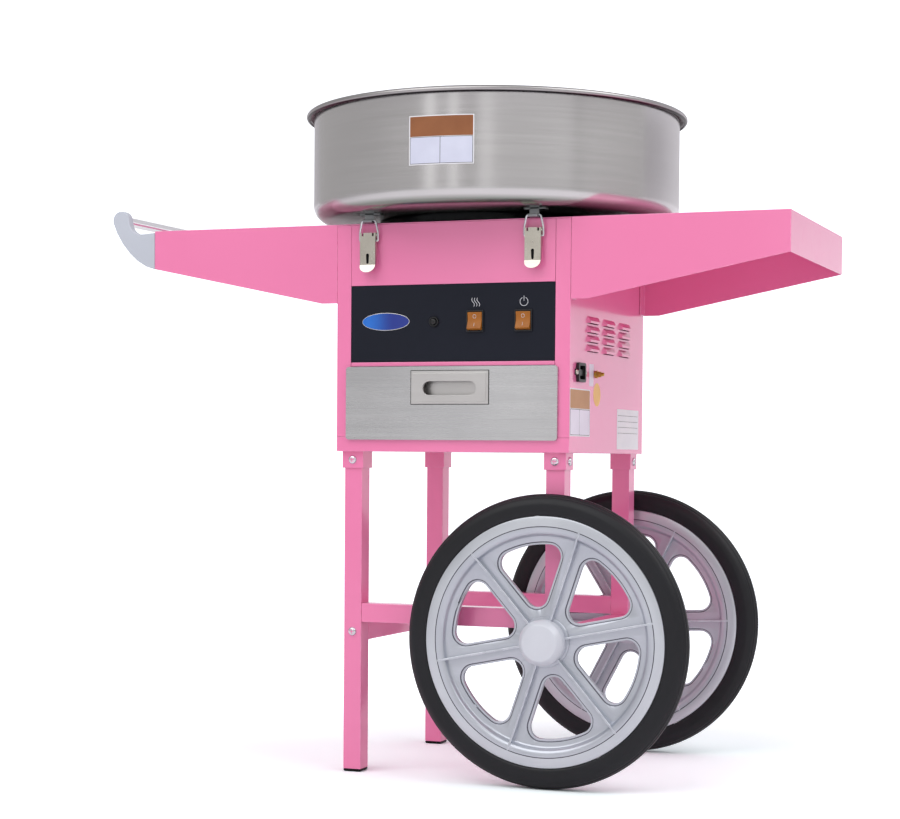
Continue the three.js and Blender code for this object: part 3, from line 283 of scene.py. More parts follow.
def round_edges(piece, radius, steps=2):
    """Rounds the sharp edges by a radius in mm."""
    width = radius * mm
    modify(piece, "BEVEL", width=width, segments=steps, limit_method="ANGLE",
           angle_limit=SHARP, use_clamp_overlap=True)
    smooth(piece, 50)
    modify(piece, "WEIGHTED_NORMAL", weight=100, keep_sharp=True)
    mark_bends(piece, width * 1.2)


def mark_bends(piece, widest):
    """The attribute bend is 1 on the narrow faces of rounded edges and 0 elsewhere."""
    mesh = piece.data
    longest = [max((mesh.vertices[a].co - mesh.vertices[b].co).length for a, b in face.edge_keys)
               for face in mesh.polygons]
    narrow = [face.area < longest[face.index] * widest for face in mesh.polygons]
    layer = mesh.attributes.get("bend") or mesh.attributes.new("bend", "FLOAT", "FACE")
    layer.data.foreach_set("value", [float(x) for x in narrow])


# %% Turning, cutting out and copying


def start(name, place):
    """A plane that is drawn together into one point, and left in edit mode."""
    bpy.ops.object.select_all(action="DESELECT")
    bpy.ops.mesh.primitive_plane_add(size=mm, location=place)
    piece = bpy.context.object
    piece.name = piece.data.name = name
    bpy.ops.object.transform_apply()
    bpy.ops.object.mode_set(mode="EDIT")
    bpy.ops.mesh.select_mode(type="VERT")
    bpy.ops.mesh.select_all(action="SELECT")
    bpy.ops.mesh.merge(type="CENTER")
    return piece


def along(points):
    for a, b in zip(points, points[1:]):
        step = {"value": Vector(b) - Vector(a)}
        bpy.ops.mesh.extrude_vertices_move(TRANSFORM_OT_translate=step)


def spun(name, points, steps, angle, centre, axis):
    """A line through the points, swept round an axis."""
    piece = start(name, points[0])
    along(points)
    bpy.ops.mesh.select_all(action="SELECT")
    bpy.ops.mesh.spin(steps=steps, angle=angle, center=centre, axis=axis)
    bpy.ops.object.mode_set(mode="OBJECT")
    clean(piece)
    return piece


def turned(name, profile, at=(0, 0, 0), axis="Z", steps=96, closed=False):
    """A profile of (radius, height) pairs in mm, spun round an axis through at. Along Y,
    heights count towards the front."""
    centre = Vector(at)
    if closed:
        profile = [*profile, profile[0]]
    out, spindle = {"Z": ((1, 0, 0), (0, 0, 1)), "Y": ((1, 0, 0), (0, -1, 0)),
                    "X": ((0, 0, 1), (1, 0, 0))}[axis]
    points = [centre + (Vector(out) * r + Vector(spindle) * h) * mm for r, h in profile]
    piece = spun(name, points, steps, math.tau, centre, spindle)
    smooth(piece)
    return piece


def plate(name, axis, at, outline, thick):
    """A flat outline in mm, drawn across the axis at that place and extruded along it."""
    row = "XYZ".index(axis)
    points = [spot(*flat[:row], at, *flat[row:]) for flat in outline]
    depth = [0, 0, 0]
    depth[row] = thick * mm
    piece = start(name, points[0])
    along(points)
    bpy.ops.mesh.select_all(action="SELECT")
    bpy.ops.mesh.edge_face_add()
    bpy.ops.mesh.extrude_region_move(TRANSFORM_OT_translate={"value": depth})
    bpy.ops.mesh.select_all(action="SELECT")
    bpy.ops.mesh.normals_make_consistent(inside=False)
    bpy.ops.object.mode_set(mode="OBJECT")
    return piece


def moved(piece, matrix):
    """Moves a piece and writes its new place into its mesh."""
    piece.matrix_world = matrix
    only(piece)
    bpy.ops.object.transform_apply()
    return piece


def copied(piece, name, matrix):
    twin = bpy.data.objects.new(name, piece.data.copy())
    bpy.context.scene.collection.objects.link(twin)
    return moved(twin, matrix)


def placing(place, *turns):
    """The matrix of a move to a place after turns, each given as degrees and an axis."""
    matrix = Matrix.Translation(place)
    for degrees, axis in turns:
        matrix = matrix @ Matrix.Rotation(math.radians(degrees), 4, axis)
    return matrix


def joined(name, *pieces):
    only(*pieces)
    bpy.ops.object.join()
    made = bpy.context.object
    made.name = made.data.name = name
    return made


def carved(piece, tool, way="DIFFERENCE"):
    modify(piece, "BOOLEAN", object=tool, operation=way, solver="EXACT")
    bpy.data.objects.remove(tool)


# %% Outlines


def arc(x, y, radius, first, last, steps, rise=None):
    """An arc between two angles, or part of an ellipse of that radius across and rise up."""
    turn = [math.radians(first + (last - first) * i / steps) for i in range(steps + 1)]
    return [(x + radius * math.cos(t), y + (rise or radius) * math.sin(t)) for t in turn]


def oval(x, y, half_w, half_h, steps, first=0):
    """Points once round an ellipse, or the corners of a nut."""
    return arc(x, y, half_w, first, first + 360, steps, half_h)[:-1]


def rectangle(x0, x1, y0, y1):
    return [(x0, y0), (x1, y0), (x1, y1), (x0, y1)]


def cut_corners(x0, x1, y0, y1, cut=0.8):
    return [(x0 + cut, y0), (x1 - cut, y0), (x1, y0 + cut), (x1, y1 - cut), (x1 - cut, y1),
            (x0 + cut, y1), (x0, y1 - cut), (x0, y0 + cut)]


def round_corners(x0, x1, y0, y1, radius):
    right, left, back, front = x1 - radius, x0 + radius, y1 - radius, y0 + radius
    return [*arc(right, back, radius, 0, 90, 6), *arc(left, back, radius, 90, 180, 6),
            *arc(left, front, radius, 180, 270, 6), *arc(right, front, radius, 270, 360, 6)]


# %% [markdown]
# ## Effects that several finishes share
#
# Real finishes are never even. Small effects are built once as node groups: the fine grain
# of a surface, slow unevenness of its colour, rubbed edges where a bend has been polished by
# hands (on the wheels' ribs the same mask paints a highlight), painted shade in fine grooves and
# recesses, and the long scratches of brushed metal.

# %% Grain and unevenness
ANYWHERE = (0.0, 0.0, 0.0)


def group(name, inputs, outputs):
    """A node group, with the sockets that it reads from and those that it gives out."""
    tree = bpy.data.node_groups.new(name, "ShaderNodeTree")
    for label, value in inputs.items():
        kind = "NodeSocketVector" if isinstance(value, tuple) else "NodeSocketFloat"
        socket = tree.interface.new_socket(name=label, in_out="INPUT", socket_type=kind)
        socket.default_value = value
    for label in outputs:
        tree.interface.new_socket(name=label, in_out="OUTPUT", socket_type="NodeSocketFloat")
    given, result = tree.nodes.new("NodeGroupInput"), tree.nodes.new("NodeGroupOutput")
    return tree, given.outputs, result.inputs


grain, given, result = group("Fine grain", {"Place": ANYWHERE, "Per metre": 900.0}, ["Height"])
bumps = add(grain, "TexNoise", {"Vector": given["Place"], "Scale": given["Per metre"],
                                "Detail": 3.0, "Roughness": 0.55})
put(grain, result["Height"], bumps.outputs["Fac"])

drift, given, result = group("Slow unevenness", {"Place": ANYWHERE, "Per metre": 6.0},
                             ["Tone", "Smudge"])
clouds = add(drift, "TexNoise", {"Vector": given["Place"], "Scale": given["Per metre"],
                                 "Detail": 4.0, "Roughness": 0.5})
finer = add(drift, "Math", {0: given["Per metre"], 1: 7.0}, operation="MULTIPLY")
fingers = add(drift, "TexNoise", {"Vector": given["Place"], "Scale": finer.outputs[0],
                                  "Detail": 6.0, "Roughness": 0.65, "Distortion": 0.6})
spots = add(drift, "MapRange", {"Value": fingers.outputs["Fac"], "From Min": 0.5,
                                "From Max": 0.75})
put(drift, result["Tone"], clouds.outputs["Fac"])
put(drift, result["Smudge"], spots.outputs[0])

# %% Rubbed and highlit edges, and painted shade in grooves


def marked(name, attribute, per_metre, low, high):
    """A mask that shows where the mesh is marked, broken up by a noise."""
    tree, given, result = group(name, {"Place": ANYWHERE, "Per metre": per_metre}, ["Mask"])
    mark = add(tree, "Attribute", attribute_name=attribute)
    noise = add(tree, "TexNoise", {"Vector": given["Place"], "Detail": 3.0,
                                   "Scale": given["Per metre"]})
    left = add(tree, "MapRange", {"Value": noise.outputs["Fac"], "From Min": low,
                                  "From Max": high})
    mask = add(tree, "Math", {0: mark.outputs["Fac"], 1: left.outputs[0]}, operation="MULTIPLY")
    put(tree, result["Mask"], mask.outputs[0])
    return tree


# Paler bends: wear on the paint, and a painted highlight on the wheels' ribs
rubbed_and_highlit = marked("Rubbed and highlit edges", "bend", 140.0, 0.35, 0.65)
# Painted shade in the hollows marked groove
soiled = marked("Painted groove shade", "groove", 60.0, 0.05, 0.25)

# %% Brushed metal
brushed, given, result = group("Brushing", {"Place": ANYWHERE, "Length": 6.0, "Across": 900.0},
                               ["Height", "Tone"])
stretch = add(brushed, "CombineXYZ", {"X": given["Length"], "Y": given["Across"],
                                      "Z": given["Across"]})
along_x = add(brushed, "VectorMath", {0: given["Place"], 1: stretch.outputs[0]},
              operation="MULTIPLY")
hair = add(brushed, "TexNoise", {"Vector": along_x.outputs[0], "Scale": 1.0, "Detail": 5.0,
                                 "Roughness": 0.7})
wide = add(brushed, "VectorMath", {0: along_x.outputs[0], 1: (0.9, 0.16, 0.16)},
           operation="MULTIPLY")
bands = add(brushed, "TexNoise", {"Vector": wide.outputs[0], "Scale": 1.0, "Detail": 3.0})
tones = add(brushed, "Math", {0: hair.outputs["Fac"], 1: bands.outputs["Fac"]}, operation="ADD")
spread = add(brushed, "MapRange", {"Value": tones.outputs[0], "From Min": 0.5, "From Max": 1.5})
put(brushed, result["Height"], hair.outputs["Fac"])
put(brushed, result["Tone"], spread.outputs[0])
print("shared effects:", [g.name for g in bpy.data.node_groups])

# %% [markdown]
# ## Finishes
#
# Each finish is a Principled shader. Paint and plastic take their colour, a slow drift of it, the
# grain of the surface as bump, and a roughness that smudges change. Brushed metals take the
# brushing instead. Colours are written as they look in plain light.

# %% Colours and the painter of finishes


def rgb(red, green, blue):
    """A colour as it looks on a screen, 0 to 255, in Blender's linear numbers."""
    linear = [c / 3294.6 if c <= 10.31 else ((c / 255 + 0.055) / 1.055) ** 2.4
              for c in (red, green, blue)]
    return (*linear, 1.0)


def mixed(tree, share, a, b):
    made = add(tree, "Mix", {"Factor": share, 6: a, 7: b}, data_type="RGBA")
    return made.outputs[2]


finishes = {}
SMUDGED = 0.06  # how much rougher a smudge is


def finish(name, colour, dark, rough, metal=0.0, grain_at=900.0, depth=0.02, drift_at=6.0,
           worn_and_highlit_to=None, coat=0.0, brushing=None, specular=0.5, across=0.0, soiled_to=None):
    """A finish from its colour, the colour of its darker patches, and its surface."""
    material = bpy.data.materials.new(name)
    tree = emptied(material)
    place = add(tree, "TexCoord").outputs["Object"]
    shade = add(tree, "BsdfPrincipled", {"Metallic": metal, "Specular IOR Level": specular,
                                         "Coat Weight": coat, "Coat Roughness": 0.12,
                                         "Anisotropic": across, "Anisotropic Rotation": 0.25})
    patches = add(tree, "Group", {"Place": place, "Per metre": drift_at}, node_tree=drift)
    share = add(tree, "MapRange", {"Value": patches.outputs["Tone"], "From Min": 0.3,
                                   "From Max": 0.7})
    base = mixed(tree, share.outputs[0], rgb(*dark), rgb(*colour))
    if brushing:
        scratches = add(tree, "Group", {"Place": brushing(tree, place)}, node_tree=brushed)
        height, uneven = scratches.outputs["Height"], scratches.outputs["Tone"]
        base = mixed(tree, uneven, rgb(*dark), base)
    else:
        fine = add(tree, "Group", {"Place": place, "Per metre": grain_at}, node_tree=grain)
        height, uneven = fine.outputs["Height"], patches.outputs["Smudge"]
    # Bends take a paler colour (wear, and on the wheels' ribs a painted highlight); faces marked
    # groove take a painted shade colour
    for effect, tint in ((rubbed_and_highlit, worn_and_highlit_to), (soiled, soiled_to)):
        if tint:
            mask = add(tree, "Group", {"Place": place}, node_tree=effect).outputs["Mask"]
            base = mixed(tree, mask, base, rgb(*tint))
    put(tree, shade.inputs["Base Color"], base)
    gloss = add(tree, "MapRange", {"Value": uneven, "To Min": rough, "To Max": rough + SMUDGED})
    put(tree, shade.inputs["Roughness"], gloss.outputs[0])
    bump = add(tree, "Bump", {"Strength": 1.0, "Distance": depth * mm, "Height": height})
    put(tree, shade.inputs["Normal"], bump.outputs[0])
    add(tree, "OutputMaterial", {"Surface": shade.outputs[0]}, is_active_output=True)
    finishes[name] = material
    return material


# %% Ways to brush
ARC_R = 0.25  # the bowl's radius in metres, which makes an angle a length


def lengthwise(tree, place):
    """Brushing that runs along X."""
    return place


def round_the_bowl(tree, place):
    """Brushing that runs round the bowl's axis: arc length, then height and radius."""
    centred = add(tree, "VectorMath", {0: place, 1: tuple(BOWL_AT)}, operation="SUBTRACT")
    parts = add(tree, "SeparateXYZ", {0: centred.outputs[0]})
    front = add(tree, "Math", {0: parts.outputs["Y"], 1: -1.0}, operation="MULTIPLY")
    angle = add(tree, "Math", {0: parts.outputs["X"], 1: front.outputs[0]}, operation="ARCTAN2")
    length = add(tree, "Math", {0: angle.outputs[0], 1: ARC_R}, operation="MULTIPLY")
    flat = add(tree, "VectorMath", {0: centred.outputs[0], 1: (1.0, 1.0, 0.0)},
               operation="MULTIPLY")
    radius = add(tree, "VectorMath", {0: flat.outputs[0]}, operation="LENGTH")
    return add(tree, "CombineXYZ", {"X": length.outputs[0], "Y": parts.outputs["Z"],
                                    "Z": radius.outputs["Value"]}).outputs[0]


# %% [markdown]
# Powder coat is sprayed and baked: it has a faint orange peel and a hard gloss, and bends wear a
# little paler. The black panel and switches are satin plastic with an even fine grain.

# %% Paint, plastics and rubber
finish("pink_paint", (243, 127, 178), (241, 124, 175), 0.36, grain_at=500, depth=0.003, drift_at=5,
       worn_and_highlit_to=(250, 152, 196), coat=1.0)
finish("black_panel", (28, 31, 42), (25, 28, 38), 0.5, grain_at=1400, depth=0.004, specular=0.15)
finish("switch_black", (22, 22, 25), (18, 18, 20), 0.36, grain_at=1800, depth=0.006)
finish("black_plastic", (16, 16, 18), (12, 12, 14), 0.36, grain_at=1500, depth=0.004,
       specular=0.14)
finish("black_rubber", (14, 15, 20), (10, 11, 15), 0.14, grain_at=90, depth=1.2, specular=0.2)
finish("tyre_black", (21, 22, 28), (16, 17, 22), 0.46, grain_at=2200, depth=0.01, drift_at=9,
       worn_and_highlit_to=(42, 43, 50), specular=0.35)
finish("grey_plastic", (196, 201, 212), (190, 195, 206), 0.38, grain_at=1500, depth=0.006)
# On the wheel the paler colour paints highlights on the ribs' edges, and the darker one paints
# shade in the groove and on the steps
finish("wheel_silver", (196, 200, 209), (184, 188, 198), 0.3, metal=0.6, depth=0.03, drift_at=12,
       worn_and_highlit_to=(232, 235, 242), soiled_to=(96, 96, 108))
finish("rim_silver", (206, 210, 217), (196, 200, 208), 0.28, metal=0.6, drift_at=12)
finish("rocker_orange", (170, 106, 42), (156, 92, 28), 0.36, grain_at=500, depth=0.004,
       drift_at=60, specular=0.3)
finish("hub_cap", (212, 215, 224), (206, 209, 218), 0.34, depth=0.004, metal=0.1, drift_at=20)
finish("motor_black", (38, 38, 42), (30, 30, 34), 0.5, depth=0.05)

# %% [markdown]
# Bright metal shows the room. Spun and brushed steel scatter it across the scratches, nickel and
# chrome keep it sharp, and the head's cast and spun aluminium is paler and duller.

# %% Metals


def metal(name, colour, dark, rough, **more):
    finish(name, colour, dark, rough, metal=1.0, **more)


# Under its lower corner the bowl's steel takes a darker, greenish painted shade
metal("spun_steel", (217, 215, 216), (204, 202, 203), 0.2, depth=0.002, brushing=round_the_bowl,
      drift_at=4, across=0.4, soiled_to=(140, 147, 139))
metal("brushed_steel", (218, 218, 219), (188, 188, 190), 0.24, depth=0.003, brushing=lengthwise,
      drift_at=5, across=0.5)
# Painted shade: the rolled edge is the bowl's own steel drawn darker, with a near-black painted
# shadow under its curl
metal("roll_steel_shaded", (182, 179, 180), (170, 167, 168), 0.3, depth=0.002, brushing=round_the_bowl,
      drift_at=4, soiled_to=(40, 38, 40))
metal("satin_steel", (216, 214, 213), (204, 202, 201), 0.34, depth=0.002, brushing=lengthwise,
      drift_at=12)
metal("nickel", (206, 201, 190), (194, 189, 178), 0.24, grain_at=300, depth=0.001, drift_at=40)
# Painted shade: the keepers sit in shade under the bowl, so their steel is drawn darker
metal("keeper_steel_shaded", (150, 151, 154), (132, 133, 137), 0.3, grain_at=300, depth=0.002,
      drift_at=40)
finish("bright_zinc", (228, 229, 234), (216, 217, 223), 0.2, metal=0.9, grain_at=600, depth=0.002,
       drift_at=60)
metal("chrome", (250, 250, 252), (244, 245, 248), 0.07, grain_at=300, depth=0.001)
metal("brass", (206, 170, 88), (176, 136, 60), 0.28, grain_at=600, depth=0.002, drift_at=60)
metal("spun_aluminium", (214, 215, 218), (196, 197, 201), 0.3, depth=0.008,
      brushing=round_the_bowl, drift_at=12)
metal("heater_alloy", (150, 140, 130), (118, 108, 100), 0.42, depth=0.004, drift_at=40)
metal("axle_steel", (176, 178, 182), (150, 152, 156), 0.34, depth=0.004)

# %% Labels, marks and enamel
for name, colour, dark in (("label_white", (240, 240, 244), (232, 232, 238)),
                           ("label_pale", (214, 217, 236), (206, 209, 229)),
                           ("label_side", (236, 232, 246), (230, 226, 240)),
                           ("label_brown", (150, 92, 52), (138, 82, 44)),
                           ("label_tan", (196, 148, 104), (186, 138, 94)),
                           ("label_yellow", (250, 206, 126), (244, 196, 112)),
                           ("label_ink", (48, 46, 56), (38, 36, 46)),
                           ("mark_white", (214, 216, 222), (204, 206, 212))):
    finish(name, colour, dark, 0.45, grain_at=1500, depth=0.004, drift_at=40)
enamel = finish("enamel_blue", (26, 116, 214), (22, 108, 206), 0.2, grain_at=400, depth=0.002,
                drift_at=45, coat=0.4)

# %% Painted highlight and shade: the enamel is lighter at its left and darkens towards the right
SHADE_FROM, SHADE_TO = -0.092, -0.05  # the places along X, in metres, between which it darkens
tree = enamel.node_tree
painted = next(n for n in tree.nodes if n.type == "BSDF_PRINCIPLED").inputs["Base Color"]
lit = painted.links[0].from_socket
along_x = add(tree, "SeparateXYZ", {0: add(tree, "TexCoord").outputs["Object"]})
deep = add(tree, "MapRange", {"Value": along_x.outputs["X"], "From Min": SHADE_FROM,
                              "From Max": SHADE_TO}, interpolation_type="SMOOTHSTEP")
put(tree, painted, mixed(tree, deep.outputs[0], lit, rgb(16, 44, 140)))
print("finishes:", len(finishes))

# %% [markdown]
# ## Sheet metal and other pieces that keep their solid
#
# A folded sheet has a bend radius of about its own thickness. The copy of each solid is merged,
# its flat triangles are joined into whole faces and its sharp edges get that radius. Pieces deep
# inside the cabinet keep their plain mesh and only get their finish.

# %% Finishes for all solids
LATCH_OFF = 115  # from the bowl's middle to a latch, to either side
LATCHES = {f"{end}_{side}": placing(BOWL_AT + spot(x, 0, 0), (turn, "Z"))
           for side, x in (("left", -LATCH_OFF), ("right", LATCH_OFF))
           for end, turn in (("front", 0), ("back", 180))}
finish_of = {**slot_of, "bowl": "spun_steel", "drawer_pull": "satin_steel",
             **{f"latch_loop_{place}": "bright_zinc" for place in LATCHES}}


def coat_with(piece, finish_name):
    piece.data.materials.clear()
    piece.data.materials.append(finishes[finish_name])


for name, piece in nodes.items():
    coat_with(piece, finish_of[name])
print("CAD nodes with a finish:", len(nodes))

# %% Rounded copies


def stands_for(piece, node):
    """The piece hides a node, rides where it rides and takes its finish."""
    coat_with(piece, finish_of[node])
    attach(piece, body_of[node])
    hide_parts(node)
    return piece


def rides_with(piece, node, finish_name):
    """An added piece that moves with the node's body."""
    coat_with(piece, finish_name)
    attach(piece, body_of[node])


def second_finish(piece, finish_name, chosen):
    """Another finish for the faces that are 1 in the list."""
    piece.data.materials.append(finishes[finish_name])
    piece.data.polygons.foreach_set("material_index", chosen)


def mark_painted_shade(piece, domain, values):
    """The attribute groove is 1 on the faces or points that get painted shade."""
    layer = piece.data.attributes.new("groove", "FLOAT", domain)
    layer.data.foreach_set("value", values)


def rounded(node, radius):
    piece = bpy.data.objects.new(node + "_finished", nodes[node].data.copy())
    bpy.context.scene.collection.objects.link(piece)
    with editing(piece):
        bpy.ops.mesh.remove_doubles(threshold=MERGE)
        bpy.ops.mesh.dissolve_limited(angle_limit=math.radians(0.5))
    round_edges(piece, radius)
    stands_for(piece, node)


ROUNDED = {
    0.7: ["base_pan", "left_side_panel", "right_side_panel", "upper_front_panel", "back_panel",
          "drawer_shelf", "top_deck", "drawer_box", "drawer_runner_left", "drawer_runner_right"],
    0.9: ["right_wing", "left_wing"],
    0.5: ["drawer_front", "drawer_pull"],
    0.4: ["power_inlet", "power_switch_housing", "heat_switch_housing", "heater_band"],
    0.6: ["power_switch_rocker", "heat_switch_rocker", "control_panel"],
    1.6: ["leg_left_front", "leg_left_back", "leg_right_front", "leg_right_back", "front_bar",
          "back_bar", "left_side_bar", "right_side_bar"],
    1.0: ["handle_plate_front", "handle_plate_back", "foot_left_front", "foot_left_back"],
}
for radius, names in ROUNDED.items():
    for name in names:
        rounded(name, radius)
print("rounded copies:", sum(len(names) for names in ROUNDED.values()))

# %% [markdown]
# The side sheets reach down over the base pan, the deck under the bowl carries a thin rubber mat,
# and a thin black sheet behind the finger pull paints a dark line of shadow round it.

# %% Skirts, mat and painted shadow round the pull
SKIRT_LOW, SKIRT_HIGH = 428.6, 448.4
SKIRT_IN = 0.6  # from the cabinet's corners
SKIRT_T, PROUD = 0.25, 0.05
MAT_R = 32  # of its round corners
PULL_SHADOW_Y = -167.35
PULL_SHADOW = (-24.9, 84.9, 489.6, 534.4)  # left, right, bottom, top
PULL_SHADOW_HOLE = (-21, 81, 493.5, 530.5)

for side, x in (("right", RIGHT_X + PROUD - SKIRT_T), ("left", LEFT_X - PROUD)):
    edge = rectangle(FRONT_Y + SKIRT_IN, BACK_Y - SKIRT_IN, SKIRT_LOW, SKIRT_HIGH)
    skirt = plate(f"skirt_{side}", "X", x, edge, SKIRT_T)
    round_edges(skirt, 0.03)
    rides_with(skirt, f"{side}_side_panel", "pink_paint")
edge = round_corners(LEFT_X + 3, RIGHT_X - 3, FRONT_Y + 1, BACK_Y - 1, MAT_R)
rides_with(plate("deck_mat", "Z", DECK_Z, edge, 0.28), "top_deck", "black_rubber")
# Painted shadow: a thin black sheet behind the pull shows as a dark line round it
pull_shadow = plate("pull_shadow_sheet", "Y", PULL_SHADOW_Y, rectangle(*PULL_SHADOW), 0.3)
carved(pull_shadow, plate("hole", "Y", PULL_SHADOW_Y - 0.65, rectangle(*PULL_SHADOW_HOLE), 2))
rides_with(pull_shadow, "drawer_front", "black_plastic")

# %% [markdown]
# ## Bowl
#
# The bowl is spun from one disc of stainless steel: a flat bottom with a collar round the spindle,
# a rounded corner, a straight wall and an edge that is rolled over outwards. The line of its
# section is drawn once, sheet thickness and all, and turned round the axis.

# %% Bowl
BOWL_R = 249.5
BOWL_T = 1.5
BOWL_LOW = 740
BOWL_FLOOR = BOWL_LOW + BOWL_T
CORNER_R = 21
CORNER_AT = (BOWL_R - CORNER_R, BOWL_LOW + CORNER_R)
WALL_LOW, WALL_HIGH = 790, 835
ROLL_FOOT = 870
ROLL_AT = (254.0, 880.7)  # middle of the rolled edge
bowl_line = [
    (22, 752), (22, BOWL_LOW + 0.8), (22.8, BOWL_LOW), (150, BOWL_LOW),
    *arc(*CORNER_AT, CORNER_R, -90, 0, 10), (BOWL_R, WALL_LOW), (BOWL_R, WALL_HIGH),
    *arc(*ROLL_AT, 4.5, 180, -70, 12, 2.8), *arc(*ROLL_AT, 6.0, -70, 180, 16, 4.3),
    (BOWL_R - BOWL_T, WALL_HIGH), (BOWL_R - BOWL_T, WALL_LOW),
    *arc(*CORNER_AT, CORNER_R - BOWL_T, 0, -90, 10), (150, BOWL_FLOOR), (25.5, BOWL_FLOOR),
    (24.1, 741.9), (23.5, 743), (23.5, 751.6), (23.1, 752),
]
bowl = stands_for(turned("bowl_spun", bowl_line, BOWL_AT, "Z", 192, closed=True), "bowl")
print("bowl faces:", len(bowl.data.polygons))

# %% Painted shade under the roll and under the lower corner
SHADE_TOP = 751.5  # the painted shade under the lower corner starts at this height and deepens downwards
SHADE_OVER = 6


def in_roll(point):
    return (point - BOWL_AT).xy.length > (BOWL_R + 0.05) * mm and point.z > ROLL_FOOT * mm


def painted_shade_amount(corner):
    """How much painted shade the steel takes: all under the rolled edge, more and more under the
    lower corner.
    """
    if in_roll(corner.co):
        return float(corner.co.z < (ROLL_AT[1] - 2) * mm)
    if corner.normal.z > 0:
        return 0.0
    return min(max((SHADE_TOP - corner.co.z / mm) / SHADE_OVER, 0), 1)


second_finish(bowl, "roll_steel_shaded", [int(in_roll(face.center)) for face in bowl.data.polygons])
mark_painted_shade(bowl, "POINT", [painted_shade_amount(corner) for corner in bowl.data.vertices])

# %% Four keepers under the bowl
HOOK = [(-3.7, 740), (-3.7, 727.8), (-11.3, 727.8), (-12.4, 728.3), (-12.8, 729.3),
        (-12.8, 731.6), (-12.4, 732), (-11.7, 732), (-11.3, 731.6), (-11.3, 730.05),
        (-10.55, 729.3), (-5.2, 729.3), (-5.2, 740)]
PAD = [(-13, -5.2), (13, -5.2), (15, -3.2), (15, 6.3), (11, 10.3), (-11, 10.3), (-15, 6.3),
       (-15, -3.2)]
hook = plate("hook", "X", -6.5, [(FRONT_Y + y, z) for y, z in HOOK], 13)
pad = plate("pad", "Z", 738.5, [(x, FRONT_Y + y) for x, y in PAD], 1.5)
round_edges(hook, 0.3)
round_edges(pad, 0.3)
keeper = joined("keeper", hook, pad)
# The keepers take the darker steel that paints their shade under the bowl
for place, move in LATCHES.items():
    rides_with(copied(keeper, f"keeper_{place}", move), "bowl", "keeper_steel_shaded")
bpy.data.objects.remove(keeper)
print("keepers:", len(LATCHES))

# %% [markdown]
# ## Latches
#
# Each latch is a stamped lever: a face with folded sides, its lower tip bent outwards for a
# finger, and a slot in it. A bent wire loop turns in the sides and hooks over the keeper.

# %% Latch levers
LEVER_TOP, LEVER_BEND, LEVER_TIP = 714.8, 672.8, 662.8
LEVER_FACE = -173.5
LEVER_HALF = 11
LEVER_T = 1.2
LEVER_BACK = LEVER_FACE + 7.8  # back edge of its folded sides
TONGUE = 8.8  # how far its rounded tip reaches down
NOTCH = 4.5
PIVOT = spot(0, -169, 712.5)

strip = plate("lever", "X", -LEVER_HALF, [
    (LEVER_FACE, LEVER_TOP), (LEVER_FACE, LEVER_BEND + 1), (LEVER_FACE - 0.5, LEVER_BEND - 1),
    (LEVER_FACE - 4, LEVER_TIP), (LEVER_FACE - 2.6, LEVER_TIP),
    (LEVER_FACE + LEVER_T - 0.4, LEVER_BEND - 1), (LEVER_FACE + LEVER_T, LEVER_BEND + 1),
    (LEVER_FACE + LEVER_T, LEVER_TOP)], 2 * LEVER_HALF)
tongue = arc(0, LEVER_TIP + TONGUE, LEVER_HALF, 180, 360, 16, TONGUE)
top_edge = [(LEVER_HALF, LEVER_TOP - 1.2), (LEVER_HALF - 1.2, LEVER_TOP), (8.6, LEVER_TOP),
            (8.6, LEVER_TOP - NOTCH), (6.2, LEVER_TOP - NOTCH), (6.2, LEVER_TOP)]
mask = [*tongue, *top_edge, *[(-x, z) for x, z in top_edge[::-1]]]
carved(strip, plate("mask", "Y", -185, mask, 25), "INTERSECT")
slot = [*arc(0, LEVER_BEND + 12.6, 2.2, -20, 200, 10), *arc(0, LEVER_BEND + 3, 1.6, 180, 360, 8)]
carved(strip, plate("slot", "Y", -180, slot, 12))
fold = [(LEVER_FACE + 0.3, LEVER_TOP), (LEVER_FACE + 0.3, LEVER_BEND),
        (LEVER_FACE + LEVER_T, LEVER_BEND), (LEVER_BACK, 696.5), (LEVER_BACK, LEVER_TOP - 1),
        (LEVER_BACK - 1, LEVER_TOP)]
folds = [plate("fold", "X", x, fold, LEVER_T) for x in (-LEVER_HALF, LEVER_HALF - LEVER_T)]
lever = joined("lever", *folds, strip)
round_edges(lever, 0.35)
rivets = [turned("rivet", [(0.02, 11.9 * s), (1.4, 11.8 * s), (2.3, 11.4 * s), (2.5, 10.8 * s),
                           (0.02, 10.8 * s)], PIVOT, "X", 20) for s in (1, -1)]
lever = joined("lever", *rivets, lever)

# %% A dark plate inside the lever: painted shade behind its slot and notches
shade_plate = plate("shade_plate", "Y", LEVER_FACE + 2.5, [
    (-9.6, LEVER_BEND + 1.5), (9.6, LEVER_BEND + 1.5), (9.6, 713.2), (8.4, 714.4), (-8.4, 714.4),
    (-9.6, 713.2)], 0.6)
round_edges(shade_plate, 0.2)

# %% Wire loops
WIRE_R = 1.4
LOOP_LOW, LOOP_HIGH = 704.5, 731
LOOP = [(9.1, LOOP_LOW), (12.9, LOOP_LOW), (12.9, 715.5), (9.6, LOOP_HIGH), (-9.6, LOOP_HIGH),
        (-12.9, 715.5), (-12.9, LOOP_LOW), (-9.1, LOOP_LOW)]
BEND_R = (1.6, 3, 3, 3, 3, 1.6)


def bent(points, radii, steps=6):
    """The points with each corner replaced by a soft bend of its own radius."""
    line = [points[0]]
    for before, at, after, radius in zip(points, points[1:], points[2:], radii):
        first = at + (before - at).normalized() * radius
        last = at + (after - at).normalized() * radius
        for i in range(steps + 1):
            t = i / steps
            line.append(first * (1 - t) ** 2 + at * 2 * t * (1 - t) + last * t ** 2)
    return [*line, points[-1]]


